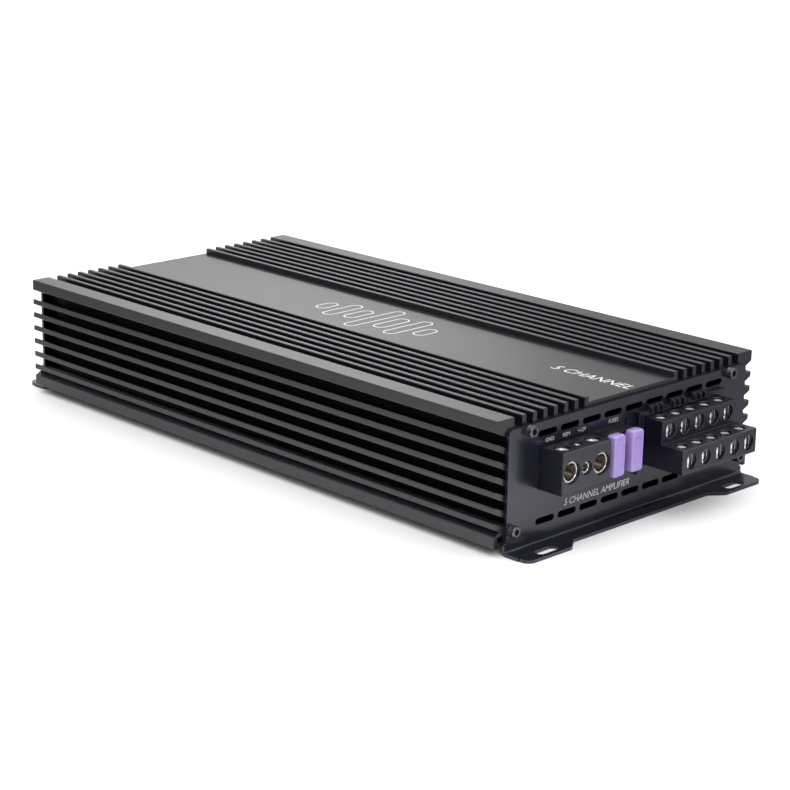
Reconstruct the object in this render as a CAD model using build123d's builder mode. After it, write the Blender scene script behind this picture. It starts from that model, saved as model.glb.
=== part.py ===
import os

from build123d import *

# Five-channel car amplifier.  Millimetres, +Z up, Z = 0 under the mounting feet,
# +X towards the terminal end, Y = 0 on the middle plane of the heat-sink housing.

# ---------------------------------------------------------------- driving sizes
housing_length = 326.0
housing_top = 59.4          # tops of the ribs and of the edge rails
fin_tip = 85.3              # half the width over the fin tips
wall_outer = 74.7           # half the width at the fin roots
wall_inner = 71.5

groove_floor = 54.4         # between the top ribs
ceiling = 50.6              # underside of the top wall
panel_level = 56.8          # flat middle panel
panel_half = 28.8
rib_count = 7
rib_pitch = 6.5
rib_width = 2.4
rail_inner = 75.0           # edge rail: its flat top runs from here to the fin tips
rail_bottom = 54.3

fin_count = 6
fin_pitch = 6.87
fin_height = 2.75           # measured upright at the tip
fin_drop = 5.734            # a fin's root lies this much below its tip
first_fin_top = 49.6

skirt_bottom = 4.0
skirt_shoulder = 9.0        # top of the skirt's outer face
skirt_wall = 2.0
notch_depth = 3.3           # V notch between the lowest fin and the skirt
web_bottom = 6.1            # seat of the bottom cover
skirt_clearance = 3.5       # between the web's edge and the skirt
web_outer = fin_tip - skirt_wall - skirt_clearance

plate_thickness = 1.5
plate_half = 79.4
plate_top = 54.6
plate_corner = 2.8
heel_half = 80.2            # the plate is a little wider beside its bend
heel_top = 4.5
bend_inner_radius = 1.0
lip_reach = 7.8             # all reaches are measured from the plate's outer face
foot_reach = 13.2
foot_outer = 79.7
foot_inner_root = 45.5
foot_inner_tip = 52.5
foot_corner = 4.0
foot_root_radius = 2.5      # where a foot runs into the lip
slot_offset = 8.7
slot_y = 63.5
slot_length = 13.0
slot_width = 5.0

vent_count = 9
vent_pitch = 13.93
vent_length = 11.6
vent_height = 2.9
vent_rows = (10.8, 49.4)

upper_screw = (67.0, 52.2)
lower_screw = (76.0, 10.5)
screw_shank = 3.0
screw_head = 5.2
screw_head_height = 3.0
screw_length = 12.0
thread_clearance = 0.05     # radial, shank to tapped hole
port_radius = 3.2

board_bottom = 15.0
board_thickness = 1.6
board_groove = 1.2          # depth of the grooves that hold the board's edges
board_clearance = 0.1
board_end_gap = 1.0

cover_thickness = 1.5
cover_side_gap = 0.5
cover_end_gap = 0.3
cover_screw_y = 75.5
cover_screw_spacing = 92.0
cover_screw_count = 4       # on each side
cover_screw_length = 7.0

power_y = -44.9
power_pitch = 9.5
power_end_wall = 0.85
power_width = 3 * power_pitch + 2 * power_end_wall
power_bottom = 25.0
power_top = 43.8
power_reach = 13.0
power_depth = 14.0          # behind the plate's inner face
power_axis_z = 34.4
power_screw_reach = 6.9     # set screws, from the plate's outer face
window_gap = 0.3

fuse_ys = (-22.5, -10.5)
fuse_z = 34.3
fuse_height = 18.6
fuse_width = 7.4
fuse_reach = 12.0
fuse_cap_depth = 4.6
fuse_neck_height = 15.0
fuse_neck_width = 5.8
fuse_gap = 0.4              # neck to holder face
holder_side = 1.7           # holder beyond a fuse's sides
holder_end = 1.3            # holder beyond a fuse's ends
shroud_reach = 6.8          # shroud round the fuse necks, from the plate's outer face
shroud_wall = 0.9
pocket_gap = 0.3            # neck to pocket
blade_width = 4.6
blade_thickness = 0.7
blade_centre = 4.6          # from the middle of the fuse
blade_length = 7.0

plug_y = 31.65
plug_pitch = 10.16
plug_positions = 5
plug_end_wall = 0.65
plug_width = plug_positions * plug_pitch + 2 * plug_end_wall
plug_bottom = 22.2
plug_step = 33.5
plug_top = 43.9
plug_upper_reach = 11.7
plug_lower_reach = 24.0
plug_insert = 9.5           # how far the plug sits inside the plate's outer face
wire_zs = (27.7, 38.7)
wire_hole = 7.0
clamp_screw_setback = 5.95  # from each tier's face
clamp_screw_hole = 5.8
header_gap = 0.3
header_wall = 2.4
header_rim = 1.4
rim_proud = 2.2

rear_jack_reach = 9.0
knob_reach = 9.0

# ---------------------------------------------------------------- stations along X
# The middle of the housing stands off X = 0 so that the whole object is centred.
housing_middle = (foot_reach - plug_lower_reach) / 2
front_inner = housing_middle + housing_length / 2
front_face = front_inner + plate_thickness
rear_inner = housing_middle - housing_length / 2
rear_face = rear_inner - plate_thickness

board_top = board_bottom + board_thickness
board_front = front_inner - board_end_gap
board_rear = rear_inner + board_end_gap
cover_bottom = web_bottom - cover_thickness

bolt_points = [(side * y, z) for y, z in (upper_screw, lower_screw) for side in (-1, 1)]
vent_ys = [(index - (vent_count - 1) / 2) * vent_pitch for index in range(vent_count)]
cover_screw_xs = [housing_middle + (index - (cover_screw_count - 1) / 2) * cover_screw_spacing
                  for index in range(cover_screw_count)]


os.makedirs("parts", exist_ok=True)


def save(piece, name):
    piece.part.label = name
    export_step(piece.part, f"parts/{name}.step")


def centre_span(low, high):
    return (low + high) / 2


def block(x_span, y_span, z_span, mode=Mode.ADD):
    """A box between two stations on each axis, added to the open part."""
    with Locations((centre_span(*x_span), centre_span(*y_span), centre_span(*z_span))):
        Box(x_span[1] - x_span[0], y_span[1] - y_span[0], z_span[1] - z_span[0], mode=mode)


def rod_x(x_span, y, z, radius, mode=Mode.ADD):
    """A cylinder along X between two stations, added to the open part."""
    with Locations(Location((centre_span(*x_span), y, z), (0, 90, 0))):
        Cylinder(radius, x_span[1] - x_span[0], mode=mode)


def rod_z(x, y, z_span, radius, mode=Mode.ADD):
    """An upright cylinder between two heights, added to the open part."""
    with Locations((x, y, centre_span(*z_span))):
        Cylinder(radius, z_span[1] - z_span[0], mode=mode)


# ---------------------------------------------------------------- heat-sink housing
wall_middle = centre_span(wall_inner, wall_outer)
fin_reach = fin_tip - wall_middle
fin_slope = fin_drop / fin_reach
lowest_fin_bottom = first_fin_top - (fin_count - 1) * fin_pitch - fin_height
notch_y = fin_tip - notch_depth
notch_z = lowest_fin_bottom - fin_slope * notch_depth
tip_round = 0.5
rib_round = 0.45

with BuildPart() as housing:
    with BuildSketch(Plane.YZ.offset(rear_inner)) as section:
        with Locations((wall_outer / 2, centre_span(ceiling, groove_floor))):
            Rectangle(wall_outer, groove_floor - ceiling)
        with Locations((panel_half / 2, centre_span(ceiling, panel_level))):
            Rectangle(panel_half, panel_level - ceiling)
        for rib in range(rib_count):
            rib_y = panel_half + rib * rib_pitch + rib_width / 2
            with Locations((rib_y, centre_span(ceiling, housing_top))):
                Rectangle(rib_width, housing_top - ceiling)
        with Locations((wall_middle, centre_span(web_bottom, groove_floor))):
            Rectangle(wall_outer - wall_inner, groove_floor - web_bottom)
        Polygon((rail_inner, housing_top), (fin_tip, housing_top), (fin_tip, rail_bottom),
                (wall_middle, rail_bottom - fin_drop),
                (wall_middle, groove_floor), (rail_inner, groove_floor), align=None)
        for fin in range(fin_count):
            top = first_fin_top - fin * fin_pitch
            root = top - fin_drop
            Polygon((fin_tip, top), (fin_tip, top - fin_height),
                    (wall_middle, root - fin_height), (wall_middle, root), align=None)
        Polygon((wall_middle, web_bottom), (web_outer, web_bottom), (web_outer, skirt_shoulder),
                (fin_tip - skirt_wall, skirt_shoulder - 0.3), (fin_tip - skirt_wall, skirt_bottom),
                (fin_tip, skirt_bottom), (fin_tip, skirt_shoulder), (notch_y, notch_z),
                (wall_middle, notch_z), align=None)
        tips = section.vertices().filter_by_position(Axis.X, fin_tip - 0.01, fin_tip + 0.01)
        fillet(tips, tip_round)
        ridges = section.vertices().filter_by_position(Axis.Y, housing_top - 0.01, housing_top + 0.01)
        fillet(ridges.filter_by_position(Axis.X, 0, rail_inner + 0.01), rib_round)
        with Locations((upper_screw[0], groove_floor - port_radius), lower_screw):
            Circle(port_radius)
        with Locations(upper_screw, lower_screw):
            Circle(screw_shank / 2 + thread_clearance, mode=Mode.SUBTRACT)
        with Locations((wall_inner + board_groove / 2, centre_span(board_bottom, board_top))):
            Rectangle(board_groove, board_thickness + 2 * board_clearance, mode=Mode.SUBTRACT)
        mirror(about=Plane.YZ)
    extrude(amount=housing_length)
    for x in cover_screw_xs:
        for side in (-1, 1):
            rod_z(x, side * cover_screw_y, (web_bottom - 1, web_bottom + cover_screw_length),
                  screw_shank / 2 + thread_clearance, Mode.SUBTRACT)
save(housing, "heat_sink_housing")

# ---------------------------------------------------------------- bottom cover
csk_radius = 2.9
with BuildPart() as bottom_cover:
    block((rear_inner + cover_end_gap, front_inner - cover_end_gap),
          (skirt_wall + cover_side_gap - fin_tip, fin_tip - skirt_wall - cover_side_gap),
          (cover_bottom, web_bottom))
    with BuildSketch(Plane.XY.offset(cover_bottom)):
        for x in cover_screw_xs:
            with Locations((x, cover_screw_y), (x, -cover_screw_y)):
                Circle(csk_radius)
    extrude(amount=csk_radius - screw_shank / 2, taper=45, mode=Mode.SUBTRACT)
    for x in cover_screw_xs:
        for side in (-1, 1):
            rod_z(x, side * cover_screw_y, (cover_bottom - 1, web_bottom + 1),
                  screw_shank / 2 + 0.1, Mode.SUBTRACT)
save(bottom_cover, "bottom_cover")

with BuildPart() as bottom_cover_screws:
    with BuildSketch(Plane.XY.offset(cover_bottom)):
        for x in cover_screw_xs:
            with Locations((x, cover_screw_y), (x, -cover_screw_y)):
                Circle(csk_radius - 0.05)
    extrude(amount=csk_radius - screw_shank / 2 - 0.05, taper=45)
    for x in cover_screw_xs:
        for side in (-1, 1):
            rod_z(x, side * cover_screw_y, (cover_bottom + 0.5, web_bottom + cover_screw_length - 1),
                  screw_shank / 2)
    with BuildSketch(Plane.XY.offset(cover_bottom)):
        for x in cover_screw_xs:
            with Locations((x, cover_screw_y), (x, -cover_screw_y)):
                RegularPolygon(1.0, 6, major_radius=False)
    extrude(amount=1.2, mode=Mode.SUBTRACT)
save(bottom_cover_screws, "bottom_cover_screws")


# ---------------------------------------------------------------- end plates
def end_plate_blank(inner_x, outward):
    """Bent sheet with its lip, two slotted feet, vents and corner holes."""

    def at(reach, height):
        return (inner_x + outward * reach, height)

    outer_bend = plate_thickness + bend_inner_radius
    diagonal = outer_bend * (1 - 0.5 ** 0.5)
    inner_diagonal = outer_bend - bend_inner_radius * 0.5 ** 0.5
    for low, high, half in ((heel_top, plate_top, plate_half), (0, heel_top, heel_half)):
        with BuildSketch(Plane.XZ) as profile:
            with BuildLine():
                if low > 0:
                    Polyline(at(0, low), at(plate_thickness, low), at(plate_thickness, high),
                             at(0, high), close=True)
                else:
                    Polyline(at(0, outer_bend), at(0, high), at(plate_thickness, high),
                             at(plate_thickness, outer_bend))
                    ThreePointArc(at(plate_thickness, outer_bend),
                                  at(inner_diagonal, inner_diagonal),
                                  at(outer_bend, plate_thickness))
                    lip_end = plate_thickness + lip_reach
                    Polyline(at(outer_bend, plate_thickness), at(lip_end, plate_thickness),
                             at(lip_end, 0), at(outer_bend, 0))
                    ThreePointArc(at(outer_bend, 0), at(diagonal, diagonal), at(0, outer_bend))
            make_face()
        extrude(profile.sketch, amount=half, both=True)
    for side in (-1, 1):
        with BuildSketch(Plane.XY) as foot:
            Polygon(*[(inner_x + outward * (plate_thickness + reach), side * y) for reach, y in (
                (2.0, foot_inner_root - 2 * foot_root_radius),
                (lip_reach, foot_inner_root - 2 * foot_root_radius), (lip_reach, foot_inner_root),
                (foot_reach, foot_inner_tip), (foot_reach, foot_outer), (2.0, foot_outer))],
                align=None)
            lip_x = inner_x + outward * (plate_thickness + lip_reach)
            at_lip = foot.vertices().filter_by_position(Axis.X, lip_x - 0.01, lip_x + 0.01)
            fillet(at_lip.sort_by(lambda corner: abs(corner.Y))[-1], foot_root_radius)
            tip_x = inner_x + outward * (plate_thickness + foot_reach)
            fillet(foot.vertices().filter_by_position(Axis.X, tip_x - 0.01, tip_x + 0.01),
                   foot_corner)
        extrude(foot.sketch, amount=plate_thickness)
    slot_x = inner_x + outward * (plate_thickness + slot_offset)
    with BuildSketch(Plane.XY) as slots:
        with Locations((slot_x, slot_y), (slot_x, -slot_y)):
            SlotOverall(slot_length, slot_width, rotation=90)
    extrude(slots.sketch, amount=plate_thickness, mode=Mode.SUBTRACT)


def pierce(inner_x, outward):
    """Sketch plane just outside an end plate, for the cuts through it along +X."""
    return Plane.YZ.offset(min(inner_x, inner_x + outward * plate_thickness) - 0.5)


def round_plate_top(plate):
    fillet(plate.edges().filter_by(Axis.X).group_by(Axis.Z)[-1], plate_corner)


power_window = (power_y - power_width / 2 - window_gap, power_y + power_width / 2 + window_gap,
                power_bottom - window_gap, power_top + window_gap)
holder_nose = (fuse_ys[0] - fuse_width / 2 - holder_side, fuse_ys[1] + fuse_width / 2 + holder_side,
               fuse_z - fuse_height / 2 - holder_end, fuse_z + fuse_height / 2 + holder_end)
plug_low_y = plug_y - plug_width / 2
plug_high_y = plug_y + plug_width / 2
header_body = (plug_low_y - header_gap - header_wall, plug_high_y + header_gap + header_wall,
               plug_bottom - header_gap - header_wall, plug_top + header_gap + 1.4)


def grown(rectangle, gap):
    low_y, high_y, low_z, high_z = rectangle
    return (low_y - gap, high_y + gap, low_z - gap, high_z + gap)


with BuildPart() as terminal_plate:
    end_plate_blank(front_inner, 1)
    round_plate_top(terminal_plate)
    with BuildSketch(pierce(front_inner, 1)):
        for z in vent_rows:
            with Locations(*[(y, z) for y in vent_ys]):
                SlotOverall(vent_length, vent_height)
        with Locations(*bolt_points):
            Circle(screw_shank / 2 + 0.2)
        for window in (power_window, grown(holder_nose, window_gap), grown(header_body, window_gap)):
            low_y, high_y, low_z, high_z = window
            with Locations((centre_span(low_y, high_y), centre_span(low_z, high_z))):
                Rectangle(high_y - low_y, high_z - low_z)
    extrude(amount=plate_thickness + 1, mode=Mode.SUBTRACT)
save(terminal_plate, "terminal_end_plate")

# ---------------------------------------------------------------- control end layout
jack_pitch = 14.0
jack_rows = (22.6, 36.6)
jack_centre_y = -44.0
jack_ys = [jack_centre_y + (column - 1) * jack_pitch for column in range(3)]
jack_collar = 4.15
jack_back = 12.0            # jack block behind the plate
knob_ys = (0.0, 17.0, 34.0)
knob_rows = (38.0, 24.0)
knob_radius = 5.0
shaft_radius = 3.0
pot_size = 9.6
switch_ys = (0.0, 17.0, 34.0)
switch_z = 47.0
led_points = ((44.5, 40.0), (63.5, 40.0))
led_radius = 1.5
phone_y = 54.0
phone_z = 24.0
phone_width = 13.2
phone_height = 12.6

with BuildPart() as control_plate:
    end_plate_blank(rear_inner, -1)
    round_plate_top(control_plate)
    with BuildSketch(pierce(rear_inner, -1)):
        with Locations(*[(y, vent_rows[0]) for y in vent_ys]):
            SlotOverall(vent_length, vent_height)
        with Locations(*bolt_points):
            Circle(screw_shank / 2 + 0.2)
        with Locations(*[(y, z) for y in jack_ys for z in jack_rows]):
            Circle(jack_collar + 0.75 + window_gap)
        with Locations(*[(y, z) for y in knob_ys for z in knob_rows]):
            Circle(shaft_radius + 0.5)
        with Locations(*[(y, switch_z) for y in switch_ys]):
            Rectangle(8.0, 3.4)
        with Locations(*led_points):
            Circle(led_radius + 0.1)
        with Locations((phone_y, phone_z)):
            Rectangle(phone_width + 2 * window_gap, phone_height + 2 * window_gap)
    extrude(amount=plate_thickness + 1, mode=Mode.SUBTRACT)
save(control_plate, "control_end_plate")

with BuildPart() as plate_screws:
    for face, outward in ((front_face, 1), (rear_face, -1)):
        shank = sorted((face, face - outward * screw_length))
        head = sorted((face, face + outward * screw_head_height))
        socket = sorted((face + outward * (screw_head_height - 1.8), face + outward * 4))
        for y, z in bolt_points:
            rod_x(shank, y, z, screw_shank / 2)
            rod_x(head, y, z, screw_head / 2)
        with BuildSketch(Plane.YZ.offset(socket[0])):
            with Locations(*bolt_points):
                RegularPolygon(1.25, 6, major_radius=False)
        extrude(amount=socket[1] - socket[0], mode=Mode.SUBTRACT)
    rims = plate_screws.edges().filter_by(GeomType.CIRCLE).filter_by(
        lambda edge: abs(edge.radius - screw_head / 2) < 0.01
        and abs(abs(edge.center().X - housing_middle) - housing_length / 2 - plate_thickness
                - screw_head_height) < 0.01)
    chamfer(rims, 0.35)
save(plate_screws, "end_plate_screws")

# ---------------------------------------------------------------- main board
with BuildPart() as main_board:
    edge = wall_inner + board_groove - board_clearance
    block((board_rear, board_front), (-edge, edge), (board_bottom, board_top))
save(main_board, "main_board")

# ---------------------------------------------------------------- power terminals
power_kinds = (  # name, offset along Y, bore, collar, body half width, body bottom, screw
    ("ground", -power_pitch, 4.1, 4.8, 4.8, 29.6, 3.0, 3.6),
    ("remote", 0.0, 2.1, 2.7, 2.7, 31.6, 2.0, 2.45),
    ("battery", power_pitch, 4.1, 4.8, 4.8, 29.6, 3.0, 3.6),
)
clamp_recess = 1.2
clamp_collar_length = 1.4
clamp_top = 41.4
clamp_front = front_face + power_reach - clamp_recess
clamp_rear = front_inner - power_depth - 2.6
clamp_tail = 2.3
power_screw_x = front_face + power_screw_reach

with BuildPart() as power_block:
    with BuildSketch(Plane.XZ.offset(-power_y)):
        nose = front_face + power_reach
        back = front_inner - power_depth
        Polygon((nose, power_bottom), (nose, power_top), (back, power_top), (back, board_top),
                (front_inner - 0.5, board_top), (front_inner - 0.5, power_bottom), align=None)
    extrude(amount=power_width / 2, both=True)
    front_edges = power_block.edges().group_by(Axis.X)[-1]
    chamfer(front_edges, 0.5)
    for name, offset, bore, collar, half, bottom, screw, screw_hole in power_kinds:
        y = power_y + offset
        rod_x((clamp_front - clamp_collar_length - 1, nose + 1), y, power_axis_z, collar + 0.35,
              Mode.SUBTRACT)
        block((back - 1, clamp_front - clamp_collar_length + 0.1), (y - half - 0.1, y + half + 0.1),
              (bottom - 0.1, clamp_top + 0.1), Mode.SUBTRACT)
        rod_z(power_screw_x, y, (clamp_top - 1, power_top + 1), screw_hole, Mode.SUBTRACT)
save(power_block, "power_terminal_block")

with BuildPart() as power_clamps:
    for name, offset, bore, collar, half, bottom, screw, screw_hole in power_kinds:
        y = power_y + offset
        block((clamp_rear, clamp_front - clamp_collar_length), (y - half, y + half),
              (bottom, clamp_top))
        rod_x((clamp_front - clamp_collar_length - 1, clamp_front), y, power_axis_z, collar)
        block((clamp_rear, clamp_rear + clamp_tail), (y - half, y + half), (board_top, bottom + 1))
        rod_x((clamp_rear + 4, clamp_front + 1), y, power_axis_z, bore, Mode.SUBTRACT)
        rod_z(power_screw_x, y, (power_axis_z, clamp_top + 1), screw + thread_clearance,
              Mode.SUBTRACT)
save(power_clamps, "power_terminal_clamps")

for name, offset, bore, collar, half, bottom, screw, screw_hole in power_kinds:
    screw_top = power_top - 0.9
    screw_bottom = power_axis_z + bore + 0.2
    with BuildPart() as set_screw:
        rod_z(power_screw_x, power_y + offset, (screw_bottom, screw_top), screw)
        with BuildSketch(Plane.XY.offset(screw_top)):
            with Locations((power_screw_x, power_y + offset)):
                RegularPolygon(screw * 0.5, 6, major_radius=False)
        extrude(amount=-2.2, mode=Mode.SUBTRACT)
        chamfer(set_screw.edges().filter_by(GeomType.CIRCLE), 0.3)
    save(set_screw, f"{name}_set_screw")

# ---------------------------------------------------------------- fuses and their holder
holder_face = front_face - 0.3
holder_back = front_inner - 15.0
clip_front = front_inner - 0.5
clip_back = front_inner - 12.0
clip_half_z = 3.2
clip_half_y = 1.7
blade_slot = 0.05
clip_tails = (4.6, 6.6)      # how far the lower and upper clips reach back
blade_points = [(y, fuse_z + side * blade_centre) for y in fuse_ys for side in (-1, 1)]

with BuildPart() as fuse_holder:
    low_y, high_y, low_z, high_z = holder_nose
    block((front_inner - 1, holder_face), (low_y, high_y), (low_z, high_z))
    block((holder_back, front_inner - 0.3), (low_y - 0.8, high_y + 0.8), (board_top, high_z + 0.8))
    pocket_half_y = fuse_neck_width / 2 + pocket_gap
    pocket_half_z = fuse_neck_height / 2 + pocket_gap
    block((holder_face - 1, front_face + shroud_reach),
          (fuse_ys[0] - pocket_half_y - shroud_wall, fuse_ys[1] + pocket_half_y + shroud_wall),
          (fuse_z - pocket_half_z - shroud_wall, fuse_z + pocket_half_z + shroud_wall))
    for y in fuse_ys:
        block((holder_face, front_face + shroud_reach + 1), (y - pocket_half_y, y + pocket_half_y),
              (fuse_z - pocket_half_z, fuse_z + pocket_half_z), Mode.SUBTRACT)
    for y, z in blade_points:
        block((clip_back - 4, clip_front + 0.1), (y - clip_half_y - 0.1, y + clip_half_y + 0.1),
              (z - clip_half_z - 0.1, z + clip_half_z + 0.1), Mode.SUBTRACT)
        slit_half = blade_thickness / 2 + 0.25
        block((clip_back, holder_face + 1), (y - slit_half, y + slit_half),
              (z - blade_width / 2 - 0.3, z + blade_width / 2 + 0.3), Mode.SUBTRACT)
save(fuse_holder, "fuse_holder")

with BuildPart() as fuse_clips:
    for y, z in blade_points:
        block((clip_back, clip_front), (y - clip_half_y, y + clip_half_y),
              (z - clip_half_z, z + clip_half_z))
        tail_back = clip_back - (clip_tails[0] if z < fuse_z else clip_tails[1])
        block((tail_back, clip_back + 0.5), (y - 0.5, y + 0.5), (z - 2, z + 2))
        block((tail_back, tail_back + 1.2), (y - 0.5, y + 0.5), (board_top, z))
        block((clip_back + 2, clip_front + 1),
              (y - blade_thickness / 2 - blade_slot, y + blade_thickness / 2 + blade_slot),
              (z - blade_width / 2 - blade_slot, z + blade_width / 2 + blade_slot), Mode.SUBTRACT)
save(fuse_clips, "fuse_clips")

fuse_face = front_face + fuse_reach
neck_back = front_face + fuse_gap
for number, y in enumerate(fuse_ys, start=1):
    with BuildPart() as fuse_body:
        block((fuse_face - fuse_cap_depth, fuse_face), (y - fuse_width / 2, y + fuse_width / 2),
              (fuse_z - fuse_height / 2, fuse_z + fuse_height / 2))
        cap_corners = fuse_body.edges().filter_by(Axis.X)
        fillet(cap_corners, 1.4)
        fillet(fuse_body.faces().sort_by(Axis.X)[-1].edges(), 0.7)
        block((neck_back, fuse_face - fuse_cap_depth + 0.5),
              (y - fuse_neck_width / 2, y + fuse_neck_width / 2),
              (fuse_z - fuse_neck_height / 2, fuse_z + fuse_neck_height / 2))
        pocket_half = blade_centre + blade_width / 2 + 0.1
        block((neck_back - 1, fuse_face - 2.6),
              (y - blade_thickness / 2 - 0.1, y + blade_thickness / 2 + 0.1),
              (fuse_z - pocket_half, fuse_z + pocket_half), Mode.SUBTRACT)
    save(fuse_body, f"fuse_{number}_body")

    with BuildPart() as fuse_blades:
        for side in (-1, 1):
            z = fuse_z + side * blade_centre
            block((neck_back - blade_length, fuse_face - 3.0),
                  (y - blade_thickness / 2, y + blade_thickness / 2),
                  (z - blade_width / 2, z + blade_width / 2))
        block((fuse_face - 4.4, fuse_face - 3.0), (y - blade_thickness / 2, y + blade_thickness / 2),
              (fuse_z - blade_centre, fuse_z + blade_centre))
    save(fuse_blades, f"fuse_{number}_blades")

# ---------------------------------------------------------------- speaker header and plug
header_back = front_inner - 24.0
plug_back = front_face - plug_insert
pin_half = 0.6
sleeve_half = 1.4
sleeve_back = plug_back + 0.6
pin_tip = front_face - 1.0
column_ys = [plug_y + (column - (plug_positions - 1) / 2) * plug_pitch
             for column in range(plug_positions)]
tiers = ((wire_zs[0], front_face + plug_lower_reach, plug_step),
         (wire_zs[1], front_face + plug_upper_reach, plug_top))
clamp_half_x = 4.0
clamp_half_y = 3.75
clamp_half_z = 3.75
latch_ys = (12.5, 27.5, 42.5)

with BuildPart() as header:
    low_y, high_y, low_z, high_z = header_body
    block((header_back, front_face + rim_proud), (low_y, high_y), (low_z, high_z))
    block((header_back, front_inner - 0.3), (low_y, high_y), (board_top, low_z + 1))
    block((front_face, front_face + rim_proud), (low_y - header_rim, high_y + header_rim),
          (low_z - header_rim, high_z + 0.9))
    for y in latch_ys:
        block((front_face, front_face + rim_proud), (y - 4.6, y + 4.6), (high_z, vent_rows[1] - 0.6))
        for rib in range(3):
            rib_y = y + (rib - 1) * 3.6
            block((front_face + 1, front_face + rim_proud + 1.2), (rib_y - 0.7, rib_y + 0.7),
                  (high_z - 0.4, vent_rows[1] - 1.2))
    block((plug_back - header_gap, front_face + rim_proud + 1),
          (plug_low_y - header_gap, plug_high_y + header_gap),
          (plug_bottom - header_gap, plug_top + header_gap), Mode.SUBTRACT)
    for y in column_ys:
        for z in wire_zs:
            block((header_back - 1, plug_back + 1), (y - pin_half - 0.02, y + pin_half + 0.02),
                  (z - pin_half - 0.02, z + pin_half + 0.02), Mode.SUBTRACT)
save(header, "speaker_header")

with BuildPart() as header_pins:
    for y in column_ys:
        for z, leg_x in ((wire_zs[0], header_back - 1.8), (wire_zs[1], header_back - 4.8)):
            block((leg_x - pin_half, pin_tip), (y - pin_half, y + pin_half),
                  (z - pin_half, z + pin_half))
            block((leg_x - pin_half, leg_x + pin_half), (y - pin_half, y + pin_half),
                  (board_top, z))
save(header_pins, "speaker_header_pins")

with BuildPart() as plug:
    with BuildSketch(Plane.XZ.offset(-plug_y)):
        lower_face = front_face + plug_lower_reach
        upper_face = front_face + plug_upper_reach
        Polygon((plug_back, plug_bottom), (lower_face, plug_bottom), (lower_face, plug_step),
                (upper_face, plug_step), (upper_face, plug_top), (plug_back, plug_top), align=None)
    extrude(amount=plug_width / 2, both=True)
    chamfer(plug.edges().group_by(Axis.X)[-1], 0.4)
    for y in column_ys:
        for z, face, roof in tiers:
            screw_x = face - clamp_screw_setback
            rod_x((screw_x, face + 1), y, z, wire_hole / 2, Mode.SUBTRACT)
            rod_z(screw_x, y, (z, roof + 1), clamp_screw_hole / 2, Mode.SUBTRACT)
            block((screw_x - clamp_half_x - 0.1, screw_x + clamp_half_x + 0.1),
                  (y - clamp_half_y - 0.1, y + clamp_half_y + 0.1),
                  (z - clamp_half_z - 0.1, z + clamp_half_z + 0.1), Mode.SUBTRACT)
            block((plug_back - 1, screw_x), (y - sleeve_half - 0.1, y + sleeve_half + 0.1),
                  (z - sleeve_half - 0.1, z + sleeve_half + 0.1), Mode.SUBTRACT)
save(plug, "speaker_plug")

screw_core = 1.5
screw_top_radius = 2.2
with BuildPart() as plug_clamps:
    for y in column_ys:
        for z, face, roof in tiers:
            screw_x = face - clamp_screw_setback
            block((screw_x - clamp_half_x, screw_x + clamp_half_x),
                  (y - clamp_half_y, y + clamp_half_y), (z - clamp_half_z, z + clamp_half_z))
            block((sleeve_back, screw_x), (y - sleeve_half, y + sleeve_half),
                  (z - sleeve_half, z + sleeve_half))
            block((screw_x - clamp_half_x + 1, screw_x + clamp_half_x + 1), (y - 2.75, y + 2.75),
                  (z - 2.9, z + 2.35), Mode.SUBTRACT)
            block((sleeve_back - 1, pin_tip + 0.4), (y - pin_half - 0.1, y + pin_half + 0.1),
                  (z - pin_half - 0.1, z + pin_half + 0.1), Mode.SUBTRACT)
            rod_z(screw_x, y, (z + 2, z + clamp_half_z + 1), screw_core + thread_clearance,
                  Mode.SUBTRACT)
save(plug_clamps, "speaker_plug_clamps")

number = 0
for z, face, roof in reversed(tiers):
    for y in column_ys:
        number += 1
        screw_x = face - clamp_screw_setback
        with BuildPart() as clamp_screw:
            rod_z(screw_x, y, (z + 0.6, z + clamp_half_z + 0.5), screw_core)
            rod_z(screw_x, y, (z + clamp_half_z + 0.3, roof - 0.5), screw_top_radius)
            block((screw_x - 4, screw_x + 4), (y - 0.4, y + 0.4), (roof - 1.1, roof), Mode.SUBTRACT)
        save(clamp_screw, f"speaker_screw_{number}")

# ---------------------------------------------------------------- input jacks
jack_points = [(y, z) for y in jack_ys for z in jack_rows]
jack_flange = jack_collar + 0.75
with BuildPart() as jack_block:
    block((rear_inner + 0.2, rear_inner + jack_back),
          (jack_ys[0] - 7.0, jack_ys[-1] + 7.0), (board_top, jack_rows[1] + 7.0))
    for y, z in jack_points:
        rod_x((rear_face - 0.8, rear_inner + 1), y, z, jack_flange)
        rod_x((rear_face - 2, rear_inner + 4), y, z, jack_collar + 0.05, Mode.SUBTRACT)
        rod_x((rear_face - 2, rear_inner + 9), y, z, 2.0, Mode.SUBTRACT)
save(jack_block, "input_jack_block")

with BuildPart() as jack_collars:
    for y, z in jack_points:
        rod_x((rear_face - rear_jack_reach, rear_inner + 4), y, z, jack_collar)
        rod_x((rear_face - rear_jack_reach - 1, rear_inner + 5), y, z, jack_collar - 0.6,
              Mode.SUBTRACT)
save(jack_collars, "input_jack_collars")

with BuildPart() as jack_inserts:
    for y, z in jack_points:
        rod_x((rear_face - rear_jack_reach + 0.6, rear_inner + 4), y, z, jack_collar - 0.65)
        rod_x((rear_face - rear_jack_reach - 1, rear_inner + 5), y, z, 1.65, Mode.SUBTRACT)
save(jack_inserts, "input_jack_inserts")

# ---------------------------------------------------------------- control pots and knobs
pot_back = rear_inner + 9.0
with BuildPart() as pots:
    for y in knob_ys:
        block((rear_inner + 0.2, pot_back), (y - pot_size / 2, y + pot_size / 2),
              (board_top, knob_rows[0] + pot_size / 2))
        for z in knob_rows:
            rod_x((rear_inner - 1, rear_inner + 7), y, z, shaft_radius + 0.05, Mode.SUBTRACT)
save(pots, "control_pots")

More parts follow.
